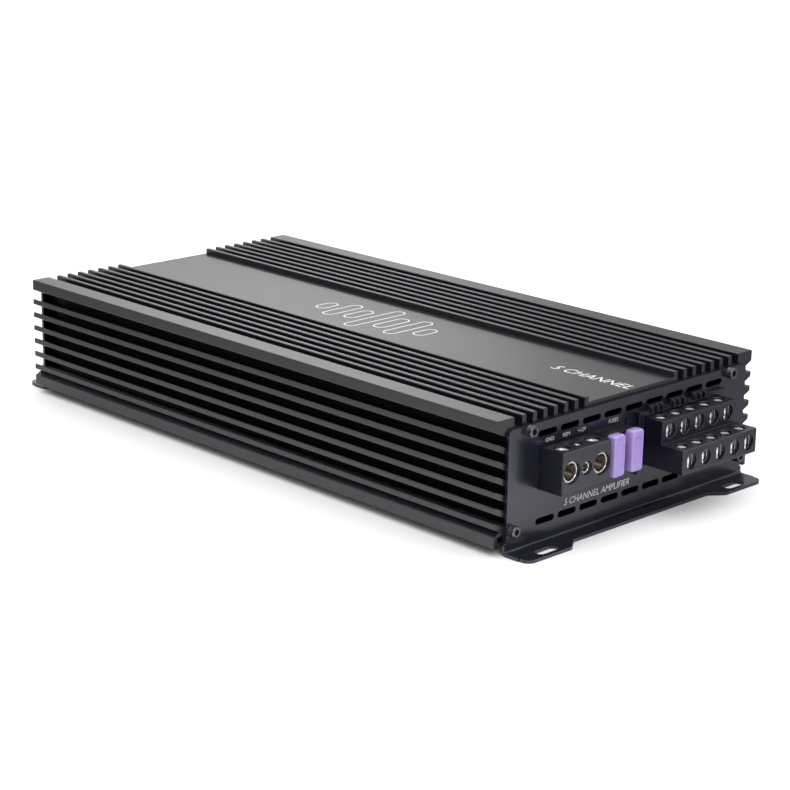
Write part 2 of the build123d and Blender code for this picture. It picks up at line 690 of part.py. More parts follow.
knob_names = ("front_gain_knob", "rear_gain_knob", "sub_gain_knob",
              "front_filter_knob", "rear_filter_knob", "sub_filter_knob")
knob_front = rear_face - knob_reach
knob_back = rear_face - 0.8
knob_places = [(y, z) for z in knob_rows for y in knob_ys]
for name, (y, z) in zip(knob_names, knob_places):
    with BuildPart() as knob:
        rod_x((knob_front, knob_back), y, z, knob_radius)
        with BuildSketch(Plane.YZ.offset(knob_front - 0.5)):
            with Locations((y, z)):
                with PolarLocations(knob_radius, 18):
                    Circle(0.45)
        extrude(amount=knob_back - knob_front - 0.8, mode=Mode.SUBTRACT)
        block((knob_front - 1, knob_front + 0.6), (y - 0.5, y + 0.5), (z + 1.2, z + knob_radius + 1),
              Mode.SUBTRACT)
        rod_x((knob_back - 0.5, rear_inner + 6.5), y, z, shaft_radius)
    save(knob, name)

# ---------------------------------------------------------------- slide switches
slider_travel = 3.0
slider_half = 1.4
with BuildPart() as switch_bodies:
    for y in switch_ys:
        block((rear_inner + 0.2, rear_inner + 5.0), (y - 6.0, y + 6.0),
              (knob_rows[0] + pot_size / 2, switch_z + 2.4))
        block((rear_inner - 1, rear_inner + 3.0), (y - slider_travel / 2 - slider_half - 0.3,
                                                   y + slider_travel / 2 + slider_half + 0.3),
              (switch_z - 1.45, switch_z + 1.45), Mode.SUBTRACT)
save(switch_bodies, "switch_bodies")

for name, y in zip(("front_mode_switch", "rear_mode_switch", "sub_mode_switch"), switch_ys):
    start = y - slider_travel / 2
    with BuildPart() as slider:
        block((rear_face - 2.6, rear_inner + 2.9), (start - slider_half, start + slider_half),
              (switch_z - 1.3, switch_z + 1.3))
        block((rear_face - 3, rear_face - 2.2), (start - 0.3, start + 0.3),
              (switch_z - 2, switch_z + 2), Mode.SUBTRACT)
    save(slider, name)

# ---------------------------------------------------------------- remote jack and indicators
with BuildPart() as phone_jack:
    block((rear_face - 0.6, rear_inner + 14.0),
          (phone_y - phone_width / 2, phone_y + phone_width / 2),
          (phone_z - phone_height / 2, phone_z + phone_height / 2))
    block((rear_inner + 0.3, rear_inner + 14.0),
          (phone_y - phone_width / 2, phone_y + phone_width / 2), (board_top, phone_z))
    block((rear_face - 2, rear_inner + 10.0), (phone_y - 4.9, phone_y + 4.9),
          (phone_z - 3.4, phone_z + 3.4), Mode.SUBTRACT)
    block((rear_face - 2, rear_inner + 6.0), (phone_y - 1.6, phone_y + 1.6),
          (phone_z - 5.2, phone_z), Mode.SUBTRACT)
save(phone_jack, "remote_control_jack")

for name, (y, z) in zip(("power_indicator", "protect_indicator"), led_points):
    with BuildPart() as indicator:
        rod_x((rear_face - 0.7, rear_inner + 3.5), y, z, led_radius)
        block((rear_inner + 3.0, rear_inner + 6.0), (y - 2.0, y + 2.0), (board_top, z + 2.0))
        fillet(indicator.edges().filter_by(GeomType.CIRCLE).group_by(Axis.X)[0], 0.6)
    save(indicator, name)

# ---------------------------------------------------------------- parts on the board
toroid_x = housing_middle + 62.0
toroid_y = -30.0
core_outer = 17.0
core_inner = 9.0
core_height = 14.0
winding = 3.0
with BuildPart() as toroid_core:
    with Locations((toroid_x, toroid_y, board_top + winding + core_height / 2)):
        Cylinder(core_outer, core_height)
        Cylinder(core_inner, core_height, mode=Mode.SUBTRACT)
save(toroid_core, "transformer_core")

with BuildPart() as toroid_winding:
    with Locations((toroid_x, toroid_y, board_top + winding + core_height / 2)):
        Cylinder(core_outer + winding, core_height + 2 * winding)
        Cylinder(core_inner - winding, core_height + 2 * winding, mode=Mode.SUBTRACT)
    fillet(toroid_winding.edges().filter_by(GeomType.CIRCLE), winding * 0.8)
    with Locations((toroid_x, toroid_y, board_top + winding + core_height / 2)):
        Cylinder(core_outer, core_height, mode=Mode.SUBTRACT)
        Cylinder(core_inner, core_height)
        Cylinder(core_inner - winding, core_height + 2 * winding, mode=Mode.SUBTRACT)
save(toroid_winding, "transformer_winding")

capacitor_radius = 9.0
capacitor_height = 30.0
capacitor_points = [(housing_middle + 106.0, -12.0), (housing_middle + 106.0, 8.0),
                    (housing_middle + 106.0, 28.0), (housing_middle + 84.0, 18.0),
                    (housing_middle + 62.0, 18.0), (housing_middle + 40.0, 18.0)]
with BuildPart() as capacitors:
    for x, y in capacitor_points:
        rod_z(x, y, (board_top, board_top + capacitor_height), capacitor_radius)
    rims = capacitors.edges().filter_by(GeomType.CIRCLE).group_by(Axis.Z)[-1]
    fillet(rims, 0.8)
save(capacitors, "filter_capacitors")

inductor_xs = [housing_middle - 100.0 + 30.0 * index for index in range(5)]
with BuildPart() as inductors:
    for x in inductor_xs:
        rod_z(x, 25.0, (board_top, board_top + 12.0), 11.0)
        rod_z(x, 25.0, (board_top - 1, board_top + 13.0), 4.5, Mode.SUBTRACT)
    fillet(inductors.edges().filter_by(GeomType.CIRCLE).group_by(Axis.Z)[-1], 1.5)
save(inductors, "output_inductors")

# ---------------------------------------------------------------- power transistors
pad_thickness = 0.5
transistor_depth = 4.6
transistor_width = 10.0
transistor_height = 15.6
transistor_bottom = board_top + 3.0
transistor_pitch = 16.0
transistor_xs = [housing_middle + (index - 6.5) * transistor_pitch for index in range(14)]
bar_length = transistor_pitch * 13 + 24.0
bar_height = 9.0
bar_thickness = 3.0
pad_face = wall_inner - pad_thickness
transistor_face = pad_face - transistor_depth
bar_middle = transistor_bottom + transistor_height / 2
bar_screw_xs = [housing_middle + (index - 2) * 3 * transistor_pitch for index in range(5)]
bar_screw_hole = 1.6


def on_side(side, inner, outer):
    return tuple(sorted((side * inner, side * outer)))


with BuildPart() as pads:
    for side in (-1, 1):
        block((housing_middle - bar_length / 2, housing_middle + bar_length / 2),
              on_side(side, pad_face, wall_inner),
              (board_top + 1.0, transistor_bottom + transistor_height + 2))
        for x in bar_screw_xs:
            with Locations(Location((x, side * wall_inner, bar_middle), (90, 0, 0))):
                Cylinder(bar_screw_hole + 0.2, 4, mode=Mode.SUBTRACT)
save(pads, "insulating_pads")

with BuildPart() as transistors:
    for side in (-1, 1):
        for x in transistor_xs:
            block((x - transistor_width / 2, x + transistor_width / 2),
                  on_side(side, transistor_face, pad_face),
                  (transistor_bottom, transistor_bottom + transistor_height))
            for leg in (-2.5, 0, 2.5):
                block((x + leg - 0.4, x + leg + 0.4),
                      on_side(side, pad_face - 2.8, pad_face - 2.2),
                      (board_top, transistor_bottom + 0.5))
save(transistors, "power_transistors")

with BuildPart() as clamp_bars:
    for side in (-1, 1):
        block((housing_middle - bar_length / 2, housing_middle + bar_length / 2),
              on_side(side, transistor_face - bar_thickness, transistor_face),
              (bar_middle - bar_height / 2, bar_middle + bar_height / 2))
        for x in bar_screw_xs:
            with Locations(Location((x, side * transistor_face, bar_middle), (90, 0, 0))):
                Cylinder(bar_screw_hole, 10, mode=Mode.SUBTRACT)
save(clamp_bars, "transistor_clamp_bars")

with BuildPart() as bar_screws:
    for side in (-1, 1):
        head_base = transistor_face - bar_thickness
        for x in bar_screw_xs:
            middle = side * centre_span(head_base, wall_inner)
            with Locations(Location((x, middle, bar_middle), (90, 0, 0))):
                Cylinder(bar_screw_hole - 0.1, wall_inner - head_base)
            middle = side * (head_base - 1.1)
            with Locations(Location((x, middle, bar_middle), (90, 0, 0))):
                Cylinder(2.8, 2.2)
save(bar_screws, "clamp_bar_screws")
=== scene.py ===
import math

import bmesh
import bpy
from mathutils import Matrix, Vector


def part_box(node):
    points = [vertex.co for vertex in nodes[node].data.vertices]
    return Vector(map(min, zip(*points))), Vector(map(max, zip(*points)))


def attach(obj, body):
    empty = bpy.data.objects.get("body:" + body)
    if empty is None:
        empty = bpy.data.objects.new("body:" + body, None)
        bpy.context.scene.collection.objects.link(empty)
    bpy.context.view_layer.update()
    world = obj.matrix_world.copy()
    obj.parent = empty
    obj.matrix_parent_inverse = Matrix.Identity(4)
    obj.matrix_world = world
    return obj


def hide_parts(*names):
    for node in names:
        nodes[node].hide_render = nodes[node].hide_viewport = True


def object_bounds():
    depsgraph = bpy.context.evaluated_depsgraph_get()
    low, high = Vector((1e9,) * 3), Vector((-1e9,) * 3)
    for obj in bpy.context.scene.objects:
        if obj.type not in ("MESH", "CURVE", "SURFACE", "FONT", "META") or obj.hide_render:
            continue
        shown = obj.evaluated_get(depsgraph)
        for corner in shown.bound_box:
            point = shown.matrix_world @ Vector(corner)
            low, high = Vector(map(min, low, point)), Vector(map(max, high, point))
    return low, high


# Five-channel car amplifier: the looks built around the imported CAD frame.
# Blender units are metres; mm() turns the sizes below into them.

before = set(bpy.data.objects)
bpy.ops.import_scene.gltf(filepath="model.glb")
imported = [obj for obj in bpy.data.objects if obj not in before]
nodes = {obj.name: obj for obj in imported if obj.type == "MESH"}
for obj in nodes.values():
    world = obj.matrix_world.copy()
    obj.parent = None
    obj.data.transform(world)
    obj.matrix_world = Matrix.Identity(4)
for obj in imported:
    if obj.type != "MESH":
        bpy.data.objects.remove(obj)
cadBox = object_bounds()
print("frame loaded,", len(nodes), "nodes")


def mm(value):
    return value / 1000


housingLow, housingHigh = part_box("heat_sink_housing")
housingMiddle = (housingLow.x + housingHigh.x) / 2
sheet = mm(1.5)                                 # thickness of the end plates
frontFace = housingHigh.x + sheet               # outer face of the terminal end plate
rearFace = housingLow.x - sheet
facingFront = Matrix(((0, 0, 1, 0), (1, 0, 0, 0), (0, 1, 0, 0), (0, 0, 0, 1)))    # local Z looks along +X
facingRear = Matrix(((0, 0, -1, 0), (-1, 0, 0, 0), (0, 1, 0, 0), (0, 0, 0, 1)))   # local Z looks along -X


# camera

view = {"place": (0.7207, -0.6935, 0.3144), "azimuth": 45.68, "elevation": 16.443, "roll": 0.93,
        "lens": 97.2}


def makeCamera():
    azimuth, elevation = math.radians(view["azimuth"]), math.radians(view["elevation"])
    back = Vector((math.sin(azimuth) * math.cos(elevation), -math.cos(azimuth) * math.cos(elevation),
                   math.sin(elevation)))
    data = bpy.data.cameras.new("camera")
    data.lens = view["lens"]
    data.sensor_width = 36
    camera = bpy.data.objects.new("camera", data)
    bpy.context.scene.collection.objects.link(camera)
    turned = (-back).to_track_quat("-Z", "Y").to_matrix() @ Matrix.Rotation(math.radians(view["roll"]), 3,
                                                                            "Z")
    camera.matrix_world = Matrix.Translation(view["place"]) @ turned.to_4x4()
    bpy.context.scene.camera = camera


# light and floor

def mathNode(tree, operation, first, second):
    node = tree.nodes.new("ShaderNodeMath")
    node.operation = operation
    for socket, value in zip(node.inputs, (first, second)):
        if isinstance(value, (int, float)):
            socket.default_value = value
        else:
            tree.links.new(value, socket)
    return node.outputs[0]


# the floor's colour for bounced and reflected rays is painted light: a dim base with two painted pools of
# light, which the object shows as painted reflections
studio = {"floorSize": 24.0, "floorColor": (0.93, 0.93, 0.935), "backdrop": 1.0,
          "bounce": 0.27, "paintedLightPools": (((0.2, -0.09), (0.45, 0.15), 0.78),
                                    ((-0.3, 0.15), (0.35, 0.2), 0.45)),
          "sky": ((0.0, 0.42), (0.35, 0.58), (0.7, 1.5), (1.0, 2.3)),     # height on the dome, brightness
          "lamps": {"back": {"place": (-2.21, 1.81, 1.1), "size": (1.08, 0.44), "power": 3.85},
                    "front": {"place": (1.25, -0.75, 0.95), "size": (0.5, 0.5), "power": 5.0}}}


def makeWorld():
    world = bpy.data.worlds.new("studio")
    world.use_nodes = True
    tree = world.node_tree
    background = tree.nodes["Background"]
    coords = tree.nodes.new("ShaderNodeTexCoord")
    split = tree.nodes.new("ShaderNodeSeparateXYZ")
    curve = tree.nodes.new("ShaderNodeFloatCurve")
    tree.links.new(coords.outputs["Generated"], split.inputs[0])
    tree.links.new(split.outputs["Z"], curve.inputs["Value"])
    steps = curve.mapping.curves[0].points
    brightest = max(light for height, light in studio["sky"])
    for index, (height, light) in enumerate(studio["sky"]):
        if index < 2:
            steps[index].location = (height, light / brightest)
        else:
            steps.new(height, light / brightest)
    curve.mapping.update()
    gain = tree.nodes.new("ShaderNodeMath")
    gain.operation = "MULTIPLY"
    gain.inputs[1].default_value = brightest
    tree.links.new(curve.outputs[0], gain.inputs[0])
    path = tree.nodes.new("ShaderNodeLightPath")          # the backdrop itself looks plain and pale
    choose = tree.nodes.new("ShaderNodeMix")
    tree.links.new(path.outputs["Is Camera Ray"], choose.inputs["Factor"])
    tree.links.new(gain.outputs[0], choose.inputs["A"])
    choose.inputs["B"].default_value = studio["backdrop"]
    tree.links.new(choose.outputs["Result"], background.inputs["Strength"])
    background.inputs["Color"].default_value = (1, 1, 1, 1)
    bpy.context.scene.world = world


def makeLight(name, settings):
    data = bpy.data.lights.new(name, "AREA")
    data.shape = "ELLIPSE"
    data.size, data.size_y = settings["size"]
    data.energy = settings["power"]
    light = bpy.data.objects.new(name, data)
    light.location = settings["place"]
    light.rotation_mode = "QUATERNION"
    light.rotation_quaternion = (-Vector(settings["place"])).to_track_quat("-Z", "Y")
    bpy.context.scene.collection.objects.link(light)


def makeFloor():
    half = studio["floorSize"] / 2
    mesh = bpy.data.meshes.new("floor")
    mesh.from_pydata([(-half, -half, 0), (half, -half, 0), (half, half, 0), (-half, half, 0)], [],
                     [(0, 1, 2, 3)])
    floor = bpy.data.objects.new("floor", mesh)
    bpy.context.scene.collection.objects.link(floor)
    floor.location.z = cadBox[0].z - mm(0.02)
    material = bpy.data.materials.new("floorPaper")
    material.use_nodes = True
    tree = material.node_tree
    shader = tree.nodes["Principled BSDF"]
    coords = tree.nodes.new("ShaderNodeTexCoord")
    split = tree.nodes.new("ShaderNodeSeparateXYZ")
    tree.links.new(coords.outputs["Object"], split.inputs[0])
    paintedBounceLight = studio["bounce"]                # painted light: the floor's colour for bounced and reflected rays, a dim base with two painted pools of light
    for centre, spread, strength in studio["paintedLightPools"]:
        across = mathNode(tree, "DIVIDE", mathNode(tree, "SUBTRACT", split.outputs["X"], centre[0]),
                          spread[0])
        along = mathNode(tree, "DIVIDE", mathNode(tree, "SUBTRACT", split.outputs["Y"], centre[1]),
                         spread[1])
        reach = mathNode(tree, "ADD", mathNode(tree, "MULTIPLY", across, across),
                         mathNode(tree, "MULTIPLY", along, along))
        paintedPool = mathNode(tree, "MULTIPLY", mathNode(tree, "POWER", math.exp(-1), reach), strength)
        paintedBounceLight = mathNode(tree, "ADD", paintedBounceLight, paintedPool)
    # the camera sees the evenly pale floor; all other rays see the painted light map above
    path = tree.nodes.new("ShaderNodeLightPath")
    choose = tree.nodes.new("ShaderNodeMix")
    choose.data_type = "RGBA"
    tree.links.new(path.outputs["Is Camera Ray"], choose.inputs["Factor"])
    tree.links.new(paintedBounceLight, choose.inputs["A"])
    choose.inputs["B"].default_value = (*studio["floorColor"], 1)
    tree.links.new(choose.outputs["Result"], shader.inputs["Base Color"])
    shader.inputs["Roughness"].default_value = 0.9
    shader.inputs["Specular IOR Level"].default_value = 0.1
    mesh.materials.append(material)


makeCamera()
makeWorld()
for lampName, lamp in studio["lamps"].items():
    makeLight(lampName, lamp)
makeFloor()
bpy.context.scene.view_settings.view_transform = "Standard"
print("camera, lights and floor are set")


# shared shader effects

def newGroup(name, sockets):
    group = bpy.data.node_groups.new(name, "ShaderNodeTree")
    for direction, socketName, kind, value in sockets:
        socket = group.interface.new_socket(name=socketName, in_out=direction,
                                            socket_type="NodeSocket" + kind)
        if value is not None:
            socket.default_value = value
    start = group.nodes.new("NodeGroupInput")
    end = group.nodes.new("NodeGroupOutput")
    return group, start, end


def makeGrain():
    # fine tooth of a moulded, powder-coated or cast surface
    sockets = [("INPUT", "Scale", "Float", 900.0), ("INPUT", "Stretch", "Vector", (1, 1, 1)),
               ("INPUT", "Detail", "Float", 3.0), ("OUTPUT", "Height", "Float", None)]
    group, start, end = newGroup("surfaceGrain", sockets)
    coords = group.nodes.new("ShaderNodeTexCoord")
    stretch = group.nodes.new("ShaderNodeVectorMath")
    stretch.operation = "MULTIPLY"
    noise = group.nodes.new("ShaderNodeTexNoise")
    group.links.new(coords.outputs["Object"], stretch.inputs[0])
    group.links.new(start.outputs["Stretch"], stretch.inputs[1])
    group.links.new(stretch.outputs[0], noise.inputs["Vector"])
    group.links.new(start.outputs["Scale"], noise.inputs["Scale"])
    group.links.new(start.outputs["Detail"], noise.inputs["Detail"])
    group.links.new(noise.outputs["Fac"], end.inputs["Height"])
    return group


def makeTone():
    # slow drift of colour and gloss over a part
    sockets = [("INPUT", "Color", "Color", (0.5, 0.5, 0.5, 1)), ("INPUT", "Scale", "Float", 20.0),
               ("INPUT", "Spread", "Float", 0.2), ("INPUT", "Roughness", "Float", 0.4),
               ("INPUT", "Gloss Spread", "Float", 0.08), ("OUTPUT", "Color", "Color", None),
               ("OUTPUT", "Roughness", "Float", None)]
    group, start, end = newGroup("toneDrift", sockets)
    coords = group.nodes.new("ShaderNodeTexCoord")
    noise = group.nodes.new("ShaderNodeTexNoise")
    noise.inputs["Detail"].default_value = 4
    group.links.new(coords.outputs["Object"], noise.inputs["Vector"])
    group.links.new(start.outputs["Scale"], noise.inputs["Scale"])
    centred = mathNode(group, "SUBTRACT", noise.outputs["Fac"], 0.5)
    gain = mathNode(group, "ADD", mathNode(group, "MULTIPLY", centred, start.outputs["Spread"]), 1.0)
    scaled = group.nodes.new("ShaderNodeVectorMath")
    scaled.operation = "SCALE"
    group.links.new(start.outputs["Color"], scaled.inputs[0])
    group.links.new(gain, scaled.inputs["Scale"])
    group.links.new(scaled.outputs[0], end.inputs["Color"])
    drift = mathNode(group, "MULTIPLY", centred, start.outputs["Gloss Spread"])
    group.links.new(mathNode(group, "ADD", drift, start.outputs["Roughness"]), end.inputs["Roughness"])
    return group


def makeDust():
    # pale specks and film that settle on faces turned upwards
    sockets = [("INPUT", "Color", "Color", (0.5, 0.5, 0.5, 1)), ("INPUT", "Amount", "Float", 0.04),
               ("INPUT", "Scale", "Float", 300.0), ("OUTPUT", "Color", "Color", None)]
    group, start, end = newGroup("settledDust", sockets)
    coords = group.nodes.new("ShaderNodeTexCoord")
    noise = group.nodes.new("ShaderNodeTexNoise")
    noise.inputs["Detail"].default_value = 6
    group.links.new(coords.outputs["Object"], noise.inputs["Vector"])
    group.links.new(start.outputs["Scale"], noise.inputs["Scale"])
    facing = group.nodes.new("ShaderNodeNewGeometry")
    split = group.nodes.new("ShaderNodeSeparateXYZ")
    group.links.new(facing.outputs["Normal"], split.inputs[0])
    upward = mathNode(group, "MAXIMUM", split.outputs["Z"], 0.0)
    share = mathNode(group, "MULTIPLY", mathNode(group, "MULTIPLY", upward, noise.outputs["Fac"]),
                     start.outputs["Amount"])
    mix = group.nodes.new("ShaderNodeMix")
    mix.data_type = "RGBA"
    group.links.new(share, mix.inputs["Factor"])
    group.links.new(start.outputs["Color"], mix.inputs["A"])
    mix.inputs["B"].default_value = (0.55, 0.53, 0.5, 1)
    group.links.new(mix.outputs["Result"], end.inputs["Color"])
    return group


grainGroup, toneGroup, dustGroup = makeGrain(), makeTone(), makeDust()


def place(tree, group, **values):
    node = tree.nodes.new("ShaderNodeGroup")
    node.node_tree = group
    for name, value in values.items():
        node.inputs[name.replace("_", " ")].default_value = value
    return node


def makeMaterial(name, look):
    # look: color, roughness, metallic, spread, gloss, tone, grain, stretch, bump, dust, shader sockets
    material = bpy.data.materials.new(name)
    material.use_nodes = True
    tree = material.node_tree
    shader = tree.nodes["Principled BSDF"]
    tone = place(tree, toneGroup, Color=(*look["color"], 1), Scale=look.get("tone", 25.0),
                 Spread=look.get("spread", 0.3),
                 Roughness=look["roughness"], Gloss_Spread=look.get("gloss", 0.15))
    dust = place(tree, dustGroup, Amount=look.get("dust", 0.01), Scale=look.get("dustScale", 260.0))
    tree.links.new(tone.outputs["Color"], dust.inputs["Color"])
    tree.links.new(dust.outputs["Color"], shader.inputs["Base Color"])
    tree.links.new(tone.outputs["Roughness"], shader.inputs["Roughness"])
    grain = place(tree, grainGroup, Scale=look.get("grain", 900.0),
                  Stretch=look.get("stretch", (1, 1, 1)))
    bump = tree.nodes.new("ShaderNodeBump")
    bump.inputs["Strength"].default_value = look.get("bump", 0.15)
    bump.inputs["Distance"].default_value = mm(look.get("bumpDepth", 0.05))
    tree.links.new(grain.outputs["Height"], bump.inputs["Height"])
    tree.links.new(bump.outputs["Normal"], shader.inputs["Normal"])
    shader.inputs["Metallic"].default_value = look.get("metallic", 0.0)
    for socket, value in look.get("sockets", {}).items():
        shader.inputs[socket].default_value = value
    return material


looks = {
    "anodised": {"color": (0.0055, 0.0055, 0.008), "roughness": 0.3, "spread": 0.3, "gloss": 0.08,
                 "tone": 14.0, "grain": 700.0, "stretch": (0.03, 1, 1), "bump": 0.1, "dust": 0.006,
                 "sockets": {"Specular IOR Level": 0.72, "Specular Tint": (0.96, 0.96, 1, 1)}},
    "powderCoat": {"color": (0.0055, 0.0055, 0.013), "roughness": 0.24, "spread": 0.3, "gloss": 0.06,
                   "tone": 30.0, "grain": 1500.0, "bump": 0.1, "dust": 0.006,
                   "sockets": {"Specular IOR Level": 0.78, "Specular Tint": (0.88, 0.88, 1, 1)}},
    "blackOxide": {"color": (0.13, 0.13, 0.14), "roughness": 0.24, "metallic": 0.9, "grain": 2200.0,
                   "bump": 0.12},
    "nylon": {"color": (0.005, 0.005, 0.011), "roughness": 0.3, "spread": 0.3, "grain": 2600.0,
              "bump": 0.12, "dust": 0.008,
              "sockets": {"Specular IOR Level": 0.7, "Specular Tint": (0.88, 0.88, 1, 1)}},
    "nickel": {"color": (0.86, 0.85, 0.83), "roughness": 0.26, "metallic": 1.0, "grain": 1800.0,
               "bump": 0.1, "dust": 0.0},
    "brightNickel": {"color": (0.95, 0.94, 0.92), "roughness": 0.44, "metallic": 1.0, "grain": 1800.0,
                     "bump": 0.08, "dust": 0.0},
    "dullNickel": {"color": (0.42, 0.40, 0.37), "roughness": 0.3, "metallic": 1.0, "grain": 1600.0,
                   "bump": 0.15, "dust": 0.0},
    "bronze": {"color": (0.05, 0.037, 0.029), "roughness": 0.3, "metallic": 1.0, "grain": 1500.0,
               "bump": 0.15, "dust": 0.0},
    "tin": {"color": (0.62, 0.61, 0.58), "roughness": 0.32, "metallic": 1.0, "grain": 1400.0,
            "bump": 0.12, "dust": 0.0},
    "violet": {"color": (0.46, 0.33, 0.75), "roughness": 0.24, "spread": 0.12, "gloss": 0.06,
               "grain": 1200.0, "bump": 0.05, "dust": 0.0,
               "sockets": {"Transmission Weight": 0.2, "IOR": 1.5, "Subsurface Weight": 0.15,
                           "Subsurface Scale": 0.0015, "Coat Weight": 0.15}},
    "print": {"color": (0.62, 0.62, 0.63), "roughness": 0.5, "spread": 0.1, "grain": 2000.0, "bump": 0.05,
              "dust": 0.0},
    "engraved": {"color": (0.72, 0.72, 0.72), "roughness": 0.45, "spread": 0.12, "grain": 1600.0,
                 "bump": 0.1, "dust": 0.0},
    "board": {"color": (0.012, 0.07, 0.03), "roughness": 0.35, "spread": 0.5, "tone": 120.0,
              "grain": 800.0, "bump": 0.2},
    "whiteInsert": {"color": (0.75, 0.74, 0.7), "roughness": 0.35, "grain": 1500.0, "bump": 0.08},
    "redInsert": {"color": (0.5, 0.02, 0.02), "roughness": 0.35, "grain": 1500.0, "bump": 0.08},
    "greenLens": {"color": (0.03, 0.35, 0.08), "roughness": 0.12,
                  "sockets": {"Transmission Weight": 0.5}},
    "redLens": {"color": (0.5, 0.02, 0.02), "roughness": 0.12, "sockets": {"Transmission Weight": 0.5}},
    "ferrite": {"color": (0.10, 0.10, 0.11), "roughness": 0.55, "grain": 1200.0, "bump": 0.3},
    "copper": {"color": (0.75, 0.30, 0.14), "roughness": 0.22, "metallic": 1.0, "grain": 900.0,
               "bump": 0.06, "sockets": {"Coat Weight": 0.5}},
    "sleeve": {"color": (0.015, 0.016, 0.03), "roughness": 0.28, "grain": 700.0, "bump": 0.05},
    "aluminium": {"color": (0.70, 0.70, 0.71), "roughness": 0.3, "metallic": 1.0, "grain": 1500.0,
                  "bump": 0.12},
    "silicone": {"color": (0.30, 0.31, 0.32), "roughness": 0.6, "grain": 900.0, "bump": 0.2},
    "epoxy": {"color": (0.02, 0.02, 0.02), "roughness": 0.5, "grain": 1800.0, "bump": 0.25},
    "steel": {"color": (0.50, 0.50, 0.51), "roughness": 0.28, "metallic": 1.0, "grain": 1300.0,
              "bump": 0.12},
    "softPlastic": {"color": (0.02, 0.02, 0.021), "roughness": 0.55, "grain": 2200.0, "bump": 0.25},
    "whiteNylon": {"color": (0.70, 0.70, 0.68), "roughness": 0.4, "grain": 1800.0, "bump": 0.12},
}
finish = {name: makeMaterial(name, look) for name, look in looks.items()}
print(len(finish), "materials")


# CAD nodes that keep their shape: finish and a small rolled or moulded edge

kept = {
    "heat_sink_housing": ("anodised", 0.12), "bottom_cover": ("powderCoat", 0.1),
    "terminal_end_plate": ("powderCoat", 0.15), "control_end_plate": ("powderCoat", 0.15),
    "main_board": ("board", 0), "power_terminal_block": ("nylon", 0.2), "fuse_holder": ("nylon", 0.2),
    "speaker_header": ("nylon", 0.2), "speaker_plug": ("nylon", 0.2), "input_jack_block": ("nylon", 0.15),
    "control_pots": ("nylon", 0.15), "switch_bodies": ("steel", 0.1),
        "remote_control_jack": ("nylon", 0.2),
    "power_terminal_clamps": ("dullNickel", 0.15), "speaker_plug_clamps": ("nickel", 0.12),
        "fuse_clips": ("tin", 0.1),
    "speaker_header_pins": ("tin", 0.08), "fuse_1_blades": ("tin", 0.08), "fuse_2_blades": ("tin", 0.08),
    "transformer_core": ("ferrite", 0.4), "insulating_pads": ("silicone", 0),
        "power_transistors": ("epoxy", 0.2),
    "transistor_clamp_bars": ("steel", 0.2), "front_mode_switch": ("whiteNylon", 0.15),
    "rear_mode_switch": ("whiteNylon", 0.15), "sub_mode_switch": ("whiteNylon", 0.15),
}


def softenEdges(node, width):
    weld = node.modifiers.new("weld", "WELD")
    weld.merge_threshold = 1e-6
    bevel = node.modifiers.new("edge", "BEVEL")
    bevel.width = mm(width)
    bevel.segments = 2
    bevel.limit_method = "ANGLE"
    bevel.angle_limit = math.radians(38)
    bevel.use_clamp_overlap = True
    bevel.harden_normals = True


for nodeName, (finishName, edge) in kept.items():
    node = nodes[nodeName]
    for slot in node.material_slots:
        slot.material = finish[finishName]
    if edge:
        softenEdges(node, edge)
print(len(kept), "CAD nodes finished")


# mesh building

def addTurned(bm, rings, spot, count=48, flutes=0, depth=0.0):
    # rings along local Z: radius, height and shape, which is round, hex or fluted; radius 0 closes an end
    rows = []
    for radius, height, shape in rings:
        if radius == 0:
            rows.append([bm.verts.new(spot @ Vector((0, 0, mm(height))))])
            continue
        row = []
        for index in range(count):
            angle = 2 * math.pi * index / count
            reach = radius
            if shape == "hex":
                reach = radius / math.cos((angle % (math.pi / 3)) - math.pi / 6)
            elif shape == "fluted":
                reach = radius - depth * (0.5 - 0.5 * math.cos(flutes * angle))
            row.append(bm.verts.new(spot @ Vector((mm(reach) * math.cos(angle),
                                                   mm(reach) * math.sin(angle), mm(height)))))
        rows.append(row)
    for first, second in zip(rows, rows[1:]):
        for index in range(count):
            after = (index + 1) % count
            if len(first) == 1:
                bm.faces.new((first[0], second[index], second[after]))
            elif len(second) == 1:
                bm.faces.new((first[index], second[0], first[after]))
            else:
                bm.faces.new((first[index], second[index], second[after], first[after]))


def addLoft(bm, stations, spot, steps=5):
    # stations run along local Z: (height, half width, half length, corner radius), closed at both ends
    rows = []
    for height, halfWidth, halfLength, corner in stations:
        row = []
        for quarter, (sx, sy) in enumerate(((1, 1), (-1, 1), (-1, -1), (1, -1))):
            for step in range(steps + 1):
                angle = math.pi / 2 * (quarter + step / steps)
                x = sx * (halfWidth - corner) + corner * math.cos(angle)
                y = sy * (halfLength - corner) + corner * math.sin(angle)
                row.append(bm.verts.new(spot @ Vector((mm(x), mm(y), mm(height)))))
        rows.append(row)
    for first, second in zip(rows, rows[1:]):
        for index in range(len(first)):
            after = (index + 1) % len(first)
            bm.faces.new((first[index], first[after], second[after], second[index]))
    bm.faces.new(list(reversed(rows[0])))
    bm.faces.new(rows[-1])


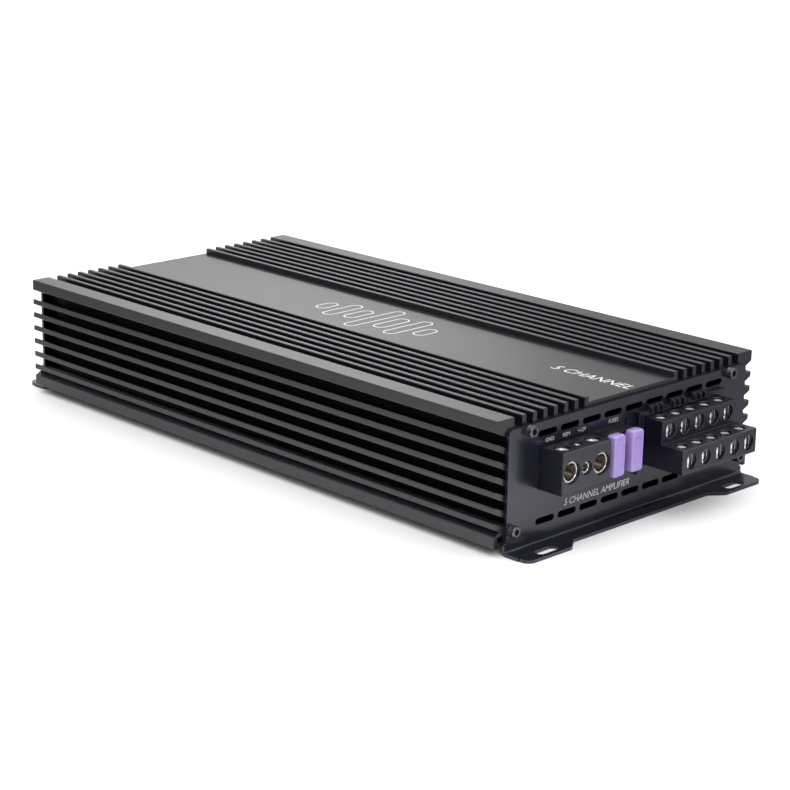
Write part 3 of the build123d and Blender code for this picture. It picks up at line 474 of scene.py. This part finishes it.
def addTube(bm, points, radius, sides=8, closed=False):
    # a round wire through a list of points, given in metres
    rows = []
    total = len(points)
    for index, point in enumerate(points):
        before = points[index - 1] if closed or index else points[index]
        behind = points[(index + 1) % total] if closed or index + 1 < total else points[index]
        along = (behind - before).normalized()
        across = along.cross(Vector((0, 0, 1)))
        if across.length < 1e-3:
            across = along.cross(Vector((1, 0, 0)))
        across.normalize()
        up = across.cross(along)
        rows.append([bm.verts.new(point + mm(radius) * (across * math.cos(a) + up * math.sin(a)))
                     for a in (2 * math.pi * side / sides for side in range(sides))])
    pairs = list(zip(rows, rows[1:]))
    if closed:
        pairs.append((rows[-1], rows[0]))
    for first, second in pairs:
        for side in range(sides):
            after = (side + 1) % sides
            bm.faces.new((first[side], second[side], second[after], first[after]))
    if not closed:
        bm.faces.new(rows[0])
        bm.faces.new(list(reversed(rows[-1])))


def addPiece(name, bm, material, body, stands=(), sharp=35):
    bmesh.ops.recalc_face_normals(bm, faces=bm.faces)
    mesh = bpy.data.meshes.new(name)
    bm.to_mesh(mesh)
    bm.free()
    mesh.shade_smooth()
    mesh.set_sharp_from_angle(angle=math.radians(sharp))
    mesh.materials.append(finish[material])
    piece = bpy.data.objects.new(name, mesh)
    bpy.context.scene.collection.objects.link(piece)
    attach(piece, body)
    if stands:
        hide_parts(*stands)
    return piece


def middle(node):
    low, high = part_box(node)
    return (low + high) / 2


# end plate screws: knurled socket caps

plateScrew = {"at": ((67.0, 52.2), (76.0, 10.5)), "head": 2.6, "height": 3.0, "shank": 1.5,
              "length": 12.0, "socket": 1.25,
              "depth": 1.8, "knurls": 24, "knurlDepth": 0.14}


def makePlateScrews():
    bm = bmesh.new()
    head, height = plateScrew["head"], plateScrew["height"]
    rings = [(0, -plateScrew["length"], "round"),
             (plateScrew["shank"] - 0.4, -plateScrew["length"], "round"),
             (plateScrew["shank"], -plateScrew["length"] + 0.5, "round"),
             (plateScrew["shank"], 0, "round"),
             (head - 0.15, 0, "round"), (head, 0.15, "round"), (head, 0.3, "fluted"),
             (head, height - 0.6, "fluted"),
             (head, height - 0.45, "round"), (head - 0.1, height - 0.2, "round"),
             (head - 0.4, height, "round"),
             (plateScrew["socket"] + 0.28, height, "round"), (plateScrew["socket"], height - 0.15, "hex"),
             (plateScrew["socket"], height - plateScrew["depth"], "hex"),
             (0, height - plateScrew["depth"] - 0.3, "round")]
    for face, facing in ((frontFace, facingFront), (rearFace, facingRear)):
        for y, z in plateScrew["at"]:
            for side in (-1, 1):
                spot = Matrix.Translation((face, mm(side * y), mm(z))) @ facing
                addTurned(bm, rings, spot, 144, plateScrew["knurls"], plateScrew["knurlDepth"])
    addPiece("plateScrews", bm, "blackOxide", "chassis", ["end_plate_screws"])


makePlateScrews()


# power terminal set screws

gripScrew = {"names": ("ground", "remote", "battery"), "pitch": 0.7, "depth": 0.22, "socketShare": 0.42}


def makeGripScrews():
    for name in gripScrew["names"]:
        node = f"{name}_set_screw"
        low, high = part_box(node)
        radius, length = (high.x - low.x) * 500, (high.z - low.z) * 1000
        socket = radius * gripScrew["socketShare"]
        rings = [(0, 0, "round"), (radius * 0.6, 0, "round"), (radius - 0.3, 0.35, "round")]
        height = 0.5
        while height < length - 0.8:
            rings += [(radius, height, "round"),
                      (radius - gripScrew["depth"], height + gripScrew["pitch"] / 2, "round")]
            height += gripScrew["pitch"]
        rings += [(radius, length - 0.5, "round"), (radius - 0.08, length - 0.1, "round"),
                  (radius - 0.25, length, "round"),
                  (socket + 0.25, length, "round"), (socket, length - 0.2, "hex"),
                  (socket, length - 2.0, "hex"),
                  (0, length - 2.4, "round")]
        bm = bmesh.new()
        centre = middle(node)
        addTurned(bm, rings, Matrix.Translation((centre.x, centre.y, low.z)), 48)
        addPiece(f"{name}GripScrew", bm, "brightNickel", node, [node])


makeGripScrews()


# speaker screws: pan heads with a cross slot

speakerScrew = {"count": 10, "slotHalf": 0.27, "slotDepth": 0.75, "dome": 0.14}


def makeSpeakerScrews():
    for number in range(1, speakerScrew["count"] + 1):
        node = f"speaker_screw_{number}"
        low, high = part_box(node)
        centre = middle(node)
        radius, length = (high.x - low.x) * 500, (high.z - low.z) * 1000
        core, headStart = radius * 0.68, length * 0.55
        bm = bmesh.new()
        rings = [(0, 0, "round"), (core - 0.3, 0, "round"), (core, 0.3, "round"),
                 (core, headStart, "round"),
                 (radius, headStart + 0.25, "round"), (radius, length - 0.5, "round"),
                 (radius - 0.08, length - 0.3, "round")]
        for step in range(1, 5):
            share = step / 5
            rings.append(((radius - 0.15) * (1 - share ** 1.6) + 0.02,
                          length - 0.22 + speakerScrew["dome"] * share, "round"))
        rings.append((0, length - 0.08, "round"))
        addTurned(bm, rings, Matrix.Translation((centre.x, centre.y, low.z)), 40)
        screw = addPiece(f"speakerScrew{number}", bm, "brightNickel", node, [node])
        cutCross(screw, Vector((centre.x, centre.y, high.z)), radius)


def cutCross(screw, top, radius):
    bm = bmesh.new()
    for turn in (0, math.pi / 2):
        spot = Matrix.Translation(top) @ Matrix.Rotation(turn, 4, "Z")
        half, depth = speakerScrew["slotHalf"], speakerScrew["slotDepth"]
        addLoft(bm, [(-depth, half * 0.7, radius * 0.62, 0.1), (0.5, half, radius * 0.8, 0.1)], spot, 2)
    mesh = bpy.data.meshes.new("crossCutter")
    bmesh.ops.recalc_face_normals(bm, faces=bm.faces)
    bm.to_mesh(mesh)
    bm.free()
    cutter = bpy.data.objects.new("crossCutter", mesh)
    bpy.context.scene.collection.objects.link(cutter)
    cut = screw.modifiers.new("cross", "BOOLEAN")
    cut.object = cutter
    cut.operation = "DIFFERENCE"
    cut.solver = "EXACT"
    cut.use_self = True
    bpy.context.view_layer.update()
    done = bpy.data.meshes.new_from_object(screw.evaluated_get(bpy.context.evaluated_depsgraph_get()))
    screw.modifiers.clear()
    screw.data = done
    done.set_sharp_from_angle(angle=math.radians(35))
    bpy.data.objects.remove(cutter)


makeSpeakerScrews()
print("screws made")


# fuses: two violet blade fuses with a recessed face and test points

fuse = {"cap": 4.6, "halfWidth": 3.7, "halfHeight": 9.3, "corner": 1.3, "neckWidth": 2.9,
        "neckHeight": 7.5, "neckGap": 0.4,
        "reach": 12.0, "recess": 0.4, "rim": 1.3, "point": 1.1}


def makeFuses():
    for number in (1, 2):
        node = f"fuse_{number}_body"
        centre = middle(node)
        spot = Matrix.Translation((frontFace, centre.y, centre.z)) @ facingFront
        face, half, tall = fuse["reach"], fuse["halfWidth"], fuse["halfHeight"]
        back = face - fuse["cap"]
        corner, rim, recess = fuse["corner"], fuse["rim"], fuse["recess"]
        neckW, neckH = fuse["neckWidth"], fuse["neckHeight"]
        bm = bmesh.new()
        addLoft(bm, [(fuse["neckGap"], neckW - 0.2, neckH - 0.2, 0.5),
                     (fuse["neckGap"] + 0.25, neckW, neckH, 0.6),
                     (back - 0.2, neckW, neckH, 0.6), (back, half - 0.25, tall - 0.25, corner),
                     (back + 0.3, half, tall, corner), (face - 0.9, half, tall, corner),
                     (face - 0.45, half - 0.12, tall - 0.12, corner),
                     (face - 0.15, half - 0.4, tall - 0.4, corner - 0.2),
                     (face, half - 0.85, tall - 0.85, corner - 0.4),
                     (face, half - rim, tall - rim - 2.4, 0.5),
                     (face - recess * 0.3, half - rim - 0.12, tall - rim - 2.55, 0.45),
                     (face - recess, half - rim - 0.2, tall - rim - 2.7, 0.4)], spot, 5)
        addPiece(f"fuse{number}Body", bm, "violet", f"fuse_{number}", [node], 50)
        bm = bmesh.new()
        for side in (-1, 1):     # moulded rings round the test points near both ends of the face
            ringSpot = spot @ Matrix.Translation((0, mm(side * (tall - 1.75)), 0))
            addLoft(bm, [(face - 0.3, fuse["point"], 0.85, 0.5), (face + 0.02, fuse["point"], 0.85, 0.5),
                         (face + 0.12, fuse["point"] - 0.12, 0.73, 0.45),
                         (face + 0.12, fuse["point"] - 0.3, 0.55, 0.35),
                         (face - 0.1, fuse["point"] - 0.35, 0.5, 0.3)], ringSpot, 3)
        addPiece(f"fuse{number}TestRings", bm, "violet", f"fuse_{number}", (), 50)


makeFuses()
print("fuses made")


# knobs on the control end: fluted skirts with a printed pointer

knob = {"names": ("front_gain", "rear_gain", "sub_gain", "front_filter", "rear_filter", "sub_filter"),
        "radius": 5.0, "flutes": 18, "fluteDepth": 0.42, "shaft": 3.0, "pointerWidth": 0.45}


def makeKnobs():
    for name in knob["names"]:
        node = f"{name}_knob"
        low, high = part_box(node)
        centre = middle(node)
        radius = knob["radius"]
        front = (high.x - low.x) * 1000
        back = 6.5 + 0.8 + 1.5                         # shaft behind the skirt, inside the pot
        spot = Matrix.Translation((high.x, centre.y, centre.z)) @ facingRear
        rings = [(0, 0, "round"), (knob["shaft"] - 0.3, 0, "round"), (knob["shaft"], 0.3, "round"),
                 (knob["shaft"], back, "round"),
                 (radius - 0.2, back, "round"), (radius, back + 0.2, "round"),
                 (radius, back + 0.9, "round"),
                 (radius, back + 1.1, "fluted"), (radius - 0.15, front - 0.9, "fluted"),
                 (radius - 0.3, front - 0.5, "fluted"),
                 (radius - 0.75, front - 0.1, "round"), (radius - 1.1, front, "round"),
                 (radius - 1.5, front, "round"),
                 (radius - 1.8, front - 0.25, "round"), (0, front - 0.35, "round")]
        bm = bmesh.new()
        addTurned(bm, rings, spot, 144, knob["flutes"], knob["fluteDepth"])
        addPiece(f"{name}Knob", bm, "softPlastic", node, [node])
        bm = bmesh.new()
        pointer = spot @ Matrix.Translation((0, mm(radius - 1.9), 0))
        half = knob["pointerWidth"] / 2
        addLoft(bm, [(front - 0.5, half, 1.5, 0.2), (front - 0.03, half, 1.5, 0.2),
                     (front, half - 0.05, 1.45, 0.15)], pointer, 3)
        addPiece(f"{name}Pointer", bm, "print", node, ())


makeKnobs()


# phono jacks: rolled nickel shells round coloured inserts

jack = {"columns": (-58.0, -44.0, -30.0), "rows": (22.6, 36.6), "reach": 9.0, "shell": 4.15, "wall": 0.6,
        "bore": 1.65}


def makeJacks():
    shells, whites, reds = bmesh.new(), bmesh.new(), bmesh.new()
    reach, shell, wall = jack["reach"], jack["shell"], jack["wall"]
    shellRings = [(shell - wall, -5.4, "round"), (shell, -5.4, "round"), (shell, 0.8, "round"),
                  (shell, reach - 1.4, "round"),
                  (shell - 0.05, reach - 1.3, "round"), (shell, reach - 1.1, "round"),
                  (shell, reach - 0.35, "round"),
                  (shell - 0.12, reach - 0.1, "round"), (shell - 0.3, reach, "round"),
                  (shell - 0.48, reach - 0.1, "round"),
                  (shell - wall, reach - 0.4, "round"), (shell - wall, -5.4, "round")]
    insert = shell - wall - 0.05
    insertRings = [(jack["bore"], -5.4, "round"), (insert, -5.4, "round"), (insert, reach - 0.9, "round"),
                   (insert - 0.2, reach - 0.65, "round"), (jack["bore"] + 0.5, reach - 0.65, "round"),
                   (jack["bore"] + 0.1, reach - 0.8, "round"), (jack["bore"], reach - 1.2, "round"),
                   (jack["bore"], -5.4, "round")]
    for y in jack["columns"]:
        for z, bm in zip(jack["rows"], (reds, whites)):
            spot = Matrix.Translation((rearFace, mm(y), mm(z))) @ facingRear
            addTurned(shells, shellRings, spot, 48)
            addTurned(bm, insertRings, spot, 40)
    addPiece("jackShells", shells, "nickel", "chassis", ["input_jack_collars"])
    addPiece("jackInsertsWhite", whites, "whiteInsert", "chassis", ["input_jack_inserts"])
    addPiece("jackInsertsRed", reds, "redInsert", "chassis", ["input_jack_inserts"])


makeJacks()


# indicators: domed lenses

def makeIndicators():
    for name, material, slot in (("power_indicator", "greenLens", "green_lens"),
                                 ("protect_indicator", "redLens", "red_lens")):
        low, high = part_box(name)
        # the lens is the front of the node, the square foot stands on the board behind it
        lensZ = high.z - mm(2.0)
        centre = middle(name)
        bm = bmesh.new()
        rings = [(0, -5.0, "round"), (1.5, -5.0, "round"), (1.5, 0.1, "round"), (1.42, 0.4, "round"),
                 (1.15, 0.62, "round"),
                 (0.6, 0.69, "round"), (0, 0.7, "round")]
        addTurned(bm, rings, Matrix.Translation((rearFace, centre.y, lensZ)) @ facingRear, 32)
        bm2 = bmesh.new()
        footHalf = (high.z - lensZ) * 1000
        rise = (high.z - low.z) * 1000
        addLoft(bm2, [(0, 1.5, footHalf, 0.3), (rise - 0.2, 1.5, footHalf, 0.3),
                      (rise, 1.35, footHalf - 0.15, 0.3)],
                Matrix.Translation((high.x - mm(1.5), centre.y, low.z)), 3)
        addPiece(f"{name}Lens", bm, material, "chassis", [name])
        addPiece(f"{name}Foot", bm2, "whiteNylon", "chassis", ())


makeIndicators()
print("control end made")


# inside: wound transformer, inductors, capacitors

winding = {"turns": 44, "wire": 0.62, "coreOuter": 17.0, "coreInner": 9.0, "coreHeight": 14.0,
           "corner": 1.5}


def woundLoop(centre, angle, inner, outer, halfHeight, corner):
    points = []
    spots = ((outer - corner, halfHeight - corner, 0), (inner + corner, halfHeight - corner, 1),
             (inner + corner, -halfHeight + corner, 2), (outer - corner, -halfHeight + corner, 3))
    for x, z, quarter in spots:
        for step in range(4):
            turn = math.pi / 2 * (quarter + step / 3)
            points.append((x + corner * math.cos(turn), z + corner * math.sin(turn)))
    return [centre + Vector((mm(x) * math.cos(angle), mm(x) * math.sin(angle), mm(z))) for x, z in points]


def makeWinding():
    centre = middle("transformer_core")
    gap = winding["wire"] + 0.2
    bm = bmesh.new()
    for index in range(winding["turns"]):
        angle = 2 * math.pi * index / winding["turns"]
        for layer in (0, 1):
            grow = layer * winding["wire"] * 1.8
            loop = woundLoop(centre, angle + layer * 0.07, winding["coreInner"] - gap - grow * 0.6,
                             winding["coreOuter"] + gap + grow, winding["coreHeight"] / 2 + gap + grow,
                             winding["corner"])
            addTube(bm, loop, winding["wire"], 6, True)
    addPiece("transformerWinding", bm, "copper", "chassis", ["transformer_winding"])


def makeInductors():
    low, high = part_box("output_inductors")
    bm, coils = bmesh.new(), bmesh.new()
    centreZ, y = (low.z + high.z) / 2, (low.y + high.y) / 2
    for index in range(5):
        centre = Vector((low.x + mm(11 + 30 * index), y, centreZ))
        spot = Matrix.Translation(centre)
        addTurned(bm, [(5.8, -4.6, "round"), (9.6, -4.6, "round"), (9.9, -4.2, "round"),
                       (9.9, 4.2, "round"), (9.6, 4.6, "round"),
                       (5.8, 4.6, "round"), (5.5, 4.2, "round"), (5.5, -4.2, "round"),
                       (5.8, -4.6, "round")], spot, 48)
        for turn in range(22):
            loop = woundLoop(centre, 2 * math.pi * turn / 22, 4.95, 10.45, 5.3, 1.0)
            addTube(coils, loop, 0.5, 6, True)
    addPiece("inductorCores", bm, "ferrite", "chassis", ["output_inductors"])
    addPiece("inductorCoils", coils, "copper", "chassis", ["output_inductors"])


capacitor = {"radius": 9.0, "at": ((106, -12), (106, 8), (106, 28), (84, 18), (62, 18), (40, 18))}


def makeCapacitors():
    low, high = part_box("filter_capacitors")
    radius, tall = capacitor["radius"], (high.z - low.z) * 1000
    sleeves, tops = bmesh.new(), bmesh.new()
    for x, y in capacitor["at"]:
        spot = Matrix.Translation((housingMiddle + mm(x), mm(y), low.z))
        addTurned(sleeves, [(0, 0, "round"), (radius - 0.6, 0, "round"), (radius, 0.5, "round"),
                            (radius, 2.4, "round"),
                            (radius - 0.45, 3.0, "round"), (radius, 3.7, "round"),
                            (radius, tall - 0.8, "round"),
                            (radius - 0.25, tall - 0.2, "round"), (radius - 0.9, tall, "round"),
                            (radius - 1.4, tall - 0.1, "round"),
                            (radius - 1.5, tall - 0.5, "round"), (0, tall - 0.5, "round")], spot, 48)
        addTurned(tops, [(0, tall - 0.55, "round"), (radius - 1.6, tall - 0.55, "round"),
                         (radius - 1.7, tall - 0.2, "round"),
                         (0, tall - 0.2, "round")], spot, 48)
    addPiece("capacitorSleeves", sleeves, "sleeve", "chassis", ["filter_capacitors"])
    addPiece("capacitorTops", tops, "aluminium", "chassis", ["filter_capacitors"])


makeWinding()
makeInductors()
makeCapacitors()
print("inner parts made")


# screws under the cover and along the clamp bars

underScrew = {"spacing": 92.0, "y": 75.5, "head": 2.85, "shank": 1.5, "length": 7.5, "socket": 1.0}


def makeUnderScrews():
    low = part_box("bottom_cover_screws")[0]
    bm = bmesh.new()
    facingDown = Matrix.Rotation(math.pi, 4, "X")
    rings = [(0, -underScrew["length"], "round"),
             (underScrew["shank"] - 0.3, -underScrew["length"], "round"),
             (underScrew["shank"], -underScrew["length"] + 0.4, "round"),
             (underScrew["shank"], -1.5, "round"),
             (underScrew["head"] - 0.1, -0.15, "round"), (underScrew["head"] - 0.1, 0, "round"),
             (underScrew["socket"] + 0.25, 0, "round"), (underScrew["socket"], -0.15, "hex"),
             (underScrew["socket"], -1.2, "hex"),
             (0, -1.4, "round")]
    for index in range(4):
        for side in (-1, 1):
            x = housingMiddle + mm((index - 1.5) * underScrew["spacing"])
            addTurned(bm, rings, Matrix.Translation((x, mm(side * underScrew["y"]), low.z)) @ facingDown,
                      48)
    addPiece("underScrews", bm, "blackOxide", "chassis", ["bottom_cover_screws"])


barScrew = {"head": 2.8, "height": 2.2, "shank": 1.5, "spacing": 48.0, "bar": 3.0}     # bar: thickness


def makeBarScrews():
    low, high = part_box("clamp_bar_screws")
    bm = bmesh.new()
    z = (low.z + high.z) / 2
    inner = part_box("transistor_clamp_bars")[1].y - mm(barScrew["bar"])
    for index in range(5):
        for side in (-1, 1):
            x = housingMiddle + mm((index - 2) * barScrew["spacing"])
            spot = Matrix.Translation((x, side * inner, z)) @ Matrix.Rotation(side * math.pi / 2, 4, "X")
            rings = [(0, -8.0, "round"), (barScrew["shank"], -8.0, "round"),
                     (barScrew["shank"], 0, "round"),
                     (barScrew["head"], 0, "round"), (barScrew["head"], 0.8, "round"),
                     (barScrew["head"] - 0.5, 1.7, "round"),
                     (1.6, barScrew["height"], "round"), (0.9, barScrew["height"], "round"),
                     (0.7, 1.1, "hex"), (0, 0.9, "round")]
            addTurned(bm, rings, spot, 36)
    addPiece("barScrews", bm, "steel", "chassis", ["clamp_bar_screws"])


makeUnderScrews()
makeBarScrews()


# serrated bores inside the power clamps

boreThread = {"offsets": (-9.5, 0.0, 9.5), "radii": (4.1, 2.1, 4.1), "start": 2.6, "end": 13.0,
              "pitch": 1.1, "wire": 0.5, "rim": 0.22, "z": 34.4}


def makeBoreThreads():
    low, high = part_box("power_terminal_clamps")
    y, z = (low.y + high.y) / 2, mm(boreThread["z"])
    bm, rims = bmesh.new(), bmesh.new()
    for offset, radius in zip(boreThread["offsets"], boreThread["radii"]):
        spot = Matrix.Translation((high.x, y + mm(offset), z)) @ facingFront
        rings = []
        height = -boreThread["end"]
        while height < -boreThread["start"]:
            rings += [(radius - 0.02, height, "round"),
                      (radius - boreThread["wire"], height + boreThread["pitch"] / 2, "round")]
            height += boreThread["pitch"]
        rings.append((radius - 0.02, height, "round"))
        rings.append((radius + 0.1, height, "round"))
        rings.append((radius + 0.1, -boreThread["end"], "round"))
        rings.append((radius - 0.02, -boreThread["end"], "round"))
        addTurned(bm, rings, spot, 48)
        rim = boreThread["rim"]                  # burnished ring at the mouth of the bore
        ring = [(radius + rim * math.cos(turn), rim * 0.5 * math.sin(turn), "round")
                for turn in (math.pi * step / 4 for step in range(9))]
        addTurned(rims, ring, spot, 48)
    addPiece("boreThreads", bm, "bronze", "chassis", ())
    addPiece("boreRims", rims, "nickel", "chassis", ())


makeBoreThreads()


# rolled cage edges seen in the speaker wire holes

# tall and short: centre height, half length and radius of one edge
cageEdge = {"columns": 5, "pitch": 10.16, "tiers": ((27.7, 24.0), (38.7, 11.7)), "setback": 1.25,
            "aside": 1.15, "tall": (0.5, 2.3, 0.72), "short": (-2.35, 1.0, 0.62)}


def makeCageEdges():
    centre = middle("speaker_plug")
    bm = bmesh.new()
    for z, reach in cageEdge["tiers"]:
        for column in range(cageEdge["columns"]):
            y = centre.y + mm((column - 2) * cageEdge["pitch"] - cageEdge["aside"])
            for rise, half, radius in (cageEdge["tall"], cageEdge["short"]):
                rings = [(radius * math.sin(math.pi * step / 10) ** 0.7,
                          -half * math.cos(math.pi * step / 10), "round")
                         for step in range(1, 10)]
                rings = [(0, -half, "round"), *rings, (0, half, "round")]
                addTurned(bm, rings, Matrix.Translation((frontFace + mm(reach - cageEdge["setback"]), y,
                                                         mm(z + rise))), 20)
    addPiece("cageEdges", bm, "nickel", "speaker_plug", ())


makeCageEdges()
print("terminal details made")


# printed words and the outline motif

# labels: name, words and the middle of the words on the plate; panel: height of the flat top panel
printing = {"thickness": 0.03, "small": 1.75, "row": 3.0, "top": 6.0, "slant": 0.22, "panel": 56.8,
            "labels": (("labelGround", "GND", -54.4, 45.9), ("labelRemote", "REM", -44.0, 45.9),
                       ("labelBattery", "+12V", -34.1, 45.9), ("labelFuses", "FUSES", -13.6, 45.8)),
            "rowAt": (-22.5, 15.4), "topSetback": 25.9, "topAside": 1.3}


def addWords(name, words, size, spot, material="print", slant=0.0, spacing=1.0):
    data = bpy.data.curves.new(name, "FONT")
    data.body = words
    data.size = mm(size) * 1.4
    data.shear = slant
    data.space_character = spacing
    data.extrude = mm(printing["thickness"])
    data.align_x = "CENTER"
    data.align_y = "CENTER"
    source = bpy.data.objects.new(name + "Source", data)
    bpy.context.scene.collection.objects.link(source)
    bpy.context.view_layer.update()
    mesh = bpy.data.meshes.new_from_object(source.evaluated_get(bpy.context.evaluated_depsgraph_get()))
    bpy.data.objects.remove(source)
    mesh.transform(spot)
    mesh.name = name
    mesh.materials.clear()
    mesh.materials.append(finish[material])
    piece = bpy.data.objects.new(name, mesh)
    bpy.context.scene.collection.objects.link(piece)
    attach(piece, "chassis")


def makeWords():
    for name, words, y, z in printing["labels"]:
        addWords(name, words, printing["small"],
                 Matrix.Translation((frontFace, mm(y), mm(z))) @ facingFront)
    y, z = printing["rowAt"]
    addWords("labelChannels", "5 CHANNEL AMPLIFIER", printing["row"],
             Matrix.Translation((frontFace, mm(y), mm(z))) @ facingFront, "print", printing["slant"])
    onPanel = (frontFace - mm(printing["topSetback"]), mm(printing["topAside"]), mm(printing["panel"]))
    addWords("labelTop", "5 CHANNEL", printing["top"], Matrix.Translation(onPanel), "engraved",
             printing["slant"])


motif = {"centre": (1.2, 0.0), "pitch": 11.5, "heights": (13, 25, 18, 39, 22, 31, 14), "halfWidth": 3.6,
         "line": 0.75}


def makeMotif():
    panel = mm(printing["panel"])
    bm = bmesh.new()
    for index, height in enumerate(motif["heights"]):
        offset = index - (len(motif["heights"]) - 1) / 2
        x = housingMiddle * 1000 + motif["centre"][0] + offset * motif["pitch"]
        rows = []
        for radius, rise in ((motif["halfWidth"], 0.0), (motif["halfWidth"], printing["thickness"]),
                             (motif["halfWidth"] - motif["line"], printing["thickness"]),
                             (motif["halfWidth"] - motif["line"], 0.0)):
            row = []
            for end in (0, 1):
                for step in range(13):
                    angle = math.pi * (end + step / 12)
                    y = (1 - 2 * end) * (height / 2 - motif["halfWidth"]) + radius * math.sin(angle)
                    row.append(bm.verts.new((mm(x + radius * math.cos(angle)), mm(motif["centre"][1] + y),
                                             panel + mm(rise))))
            rows.append(row)
        for first, second in zip(rows, rows[1:] + rows[:1]):
            for step in range(len(first)):
                after = (step + 1) % len(first)
                bm.faces.new((first[step], first[after], second[after], second[step]))
    addPiece("barMotif", bm, "engraved", "chassis", ())


makeWords()
makeMotif()
print("printing made")
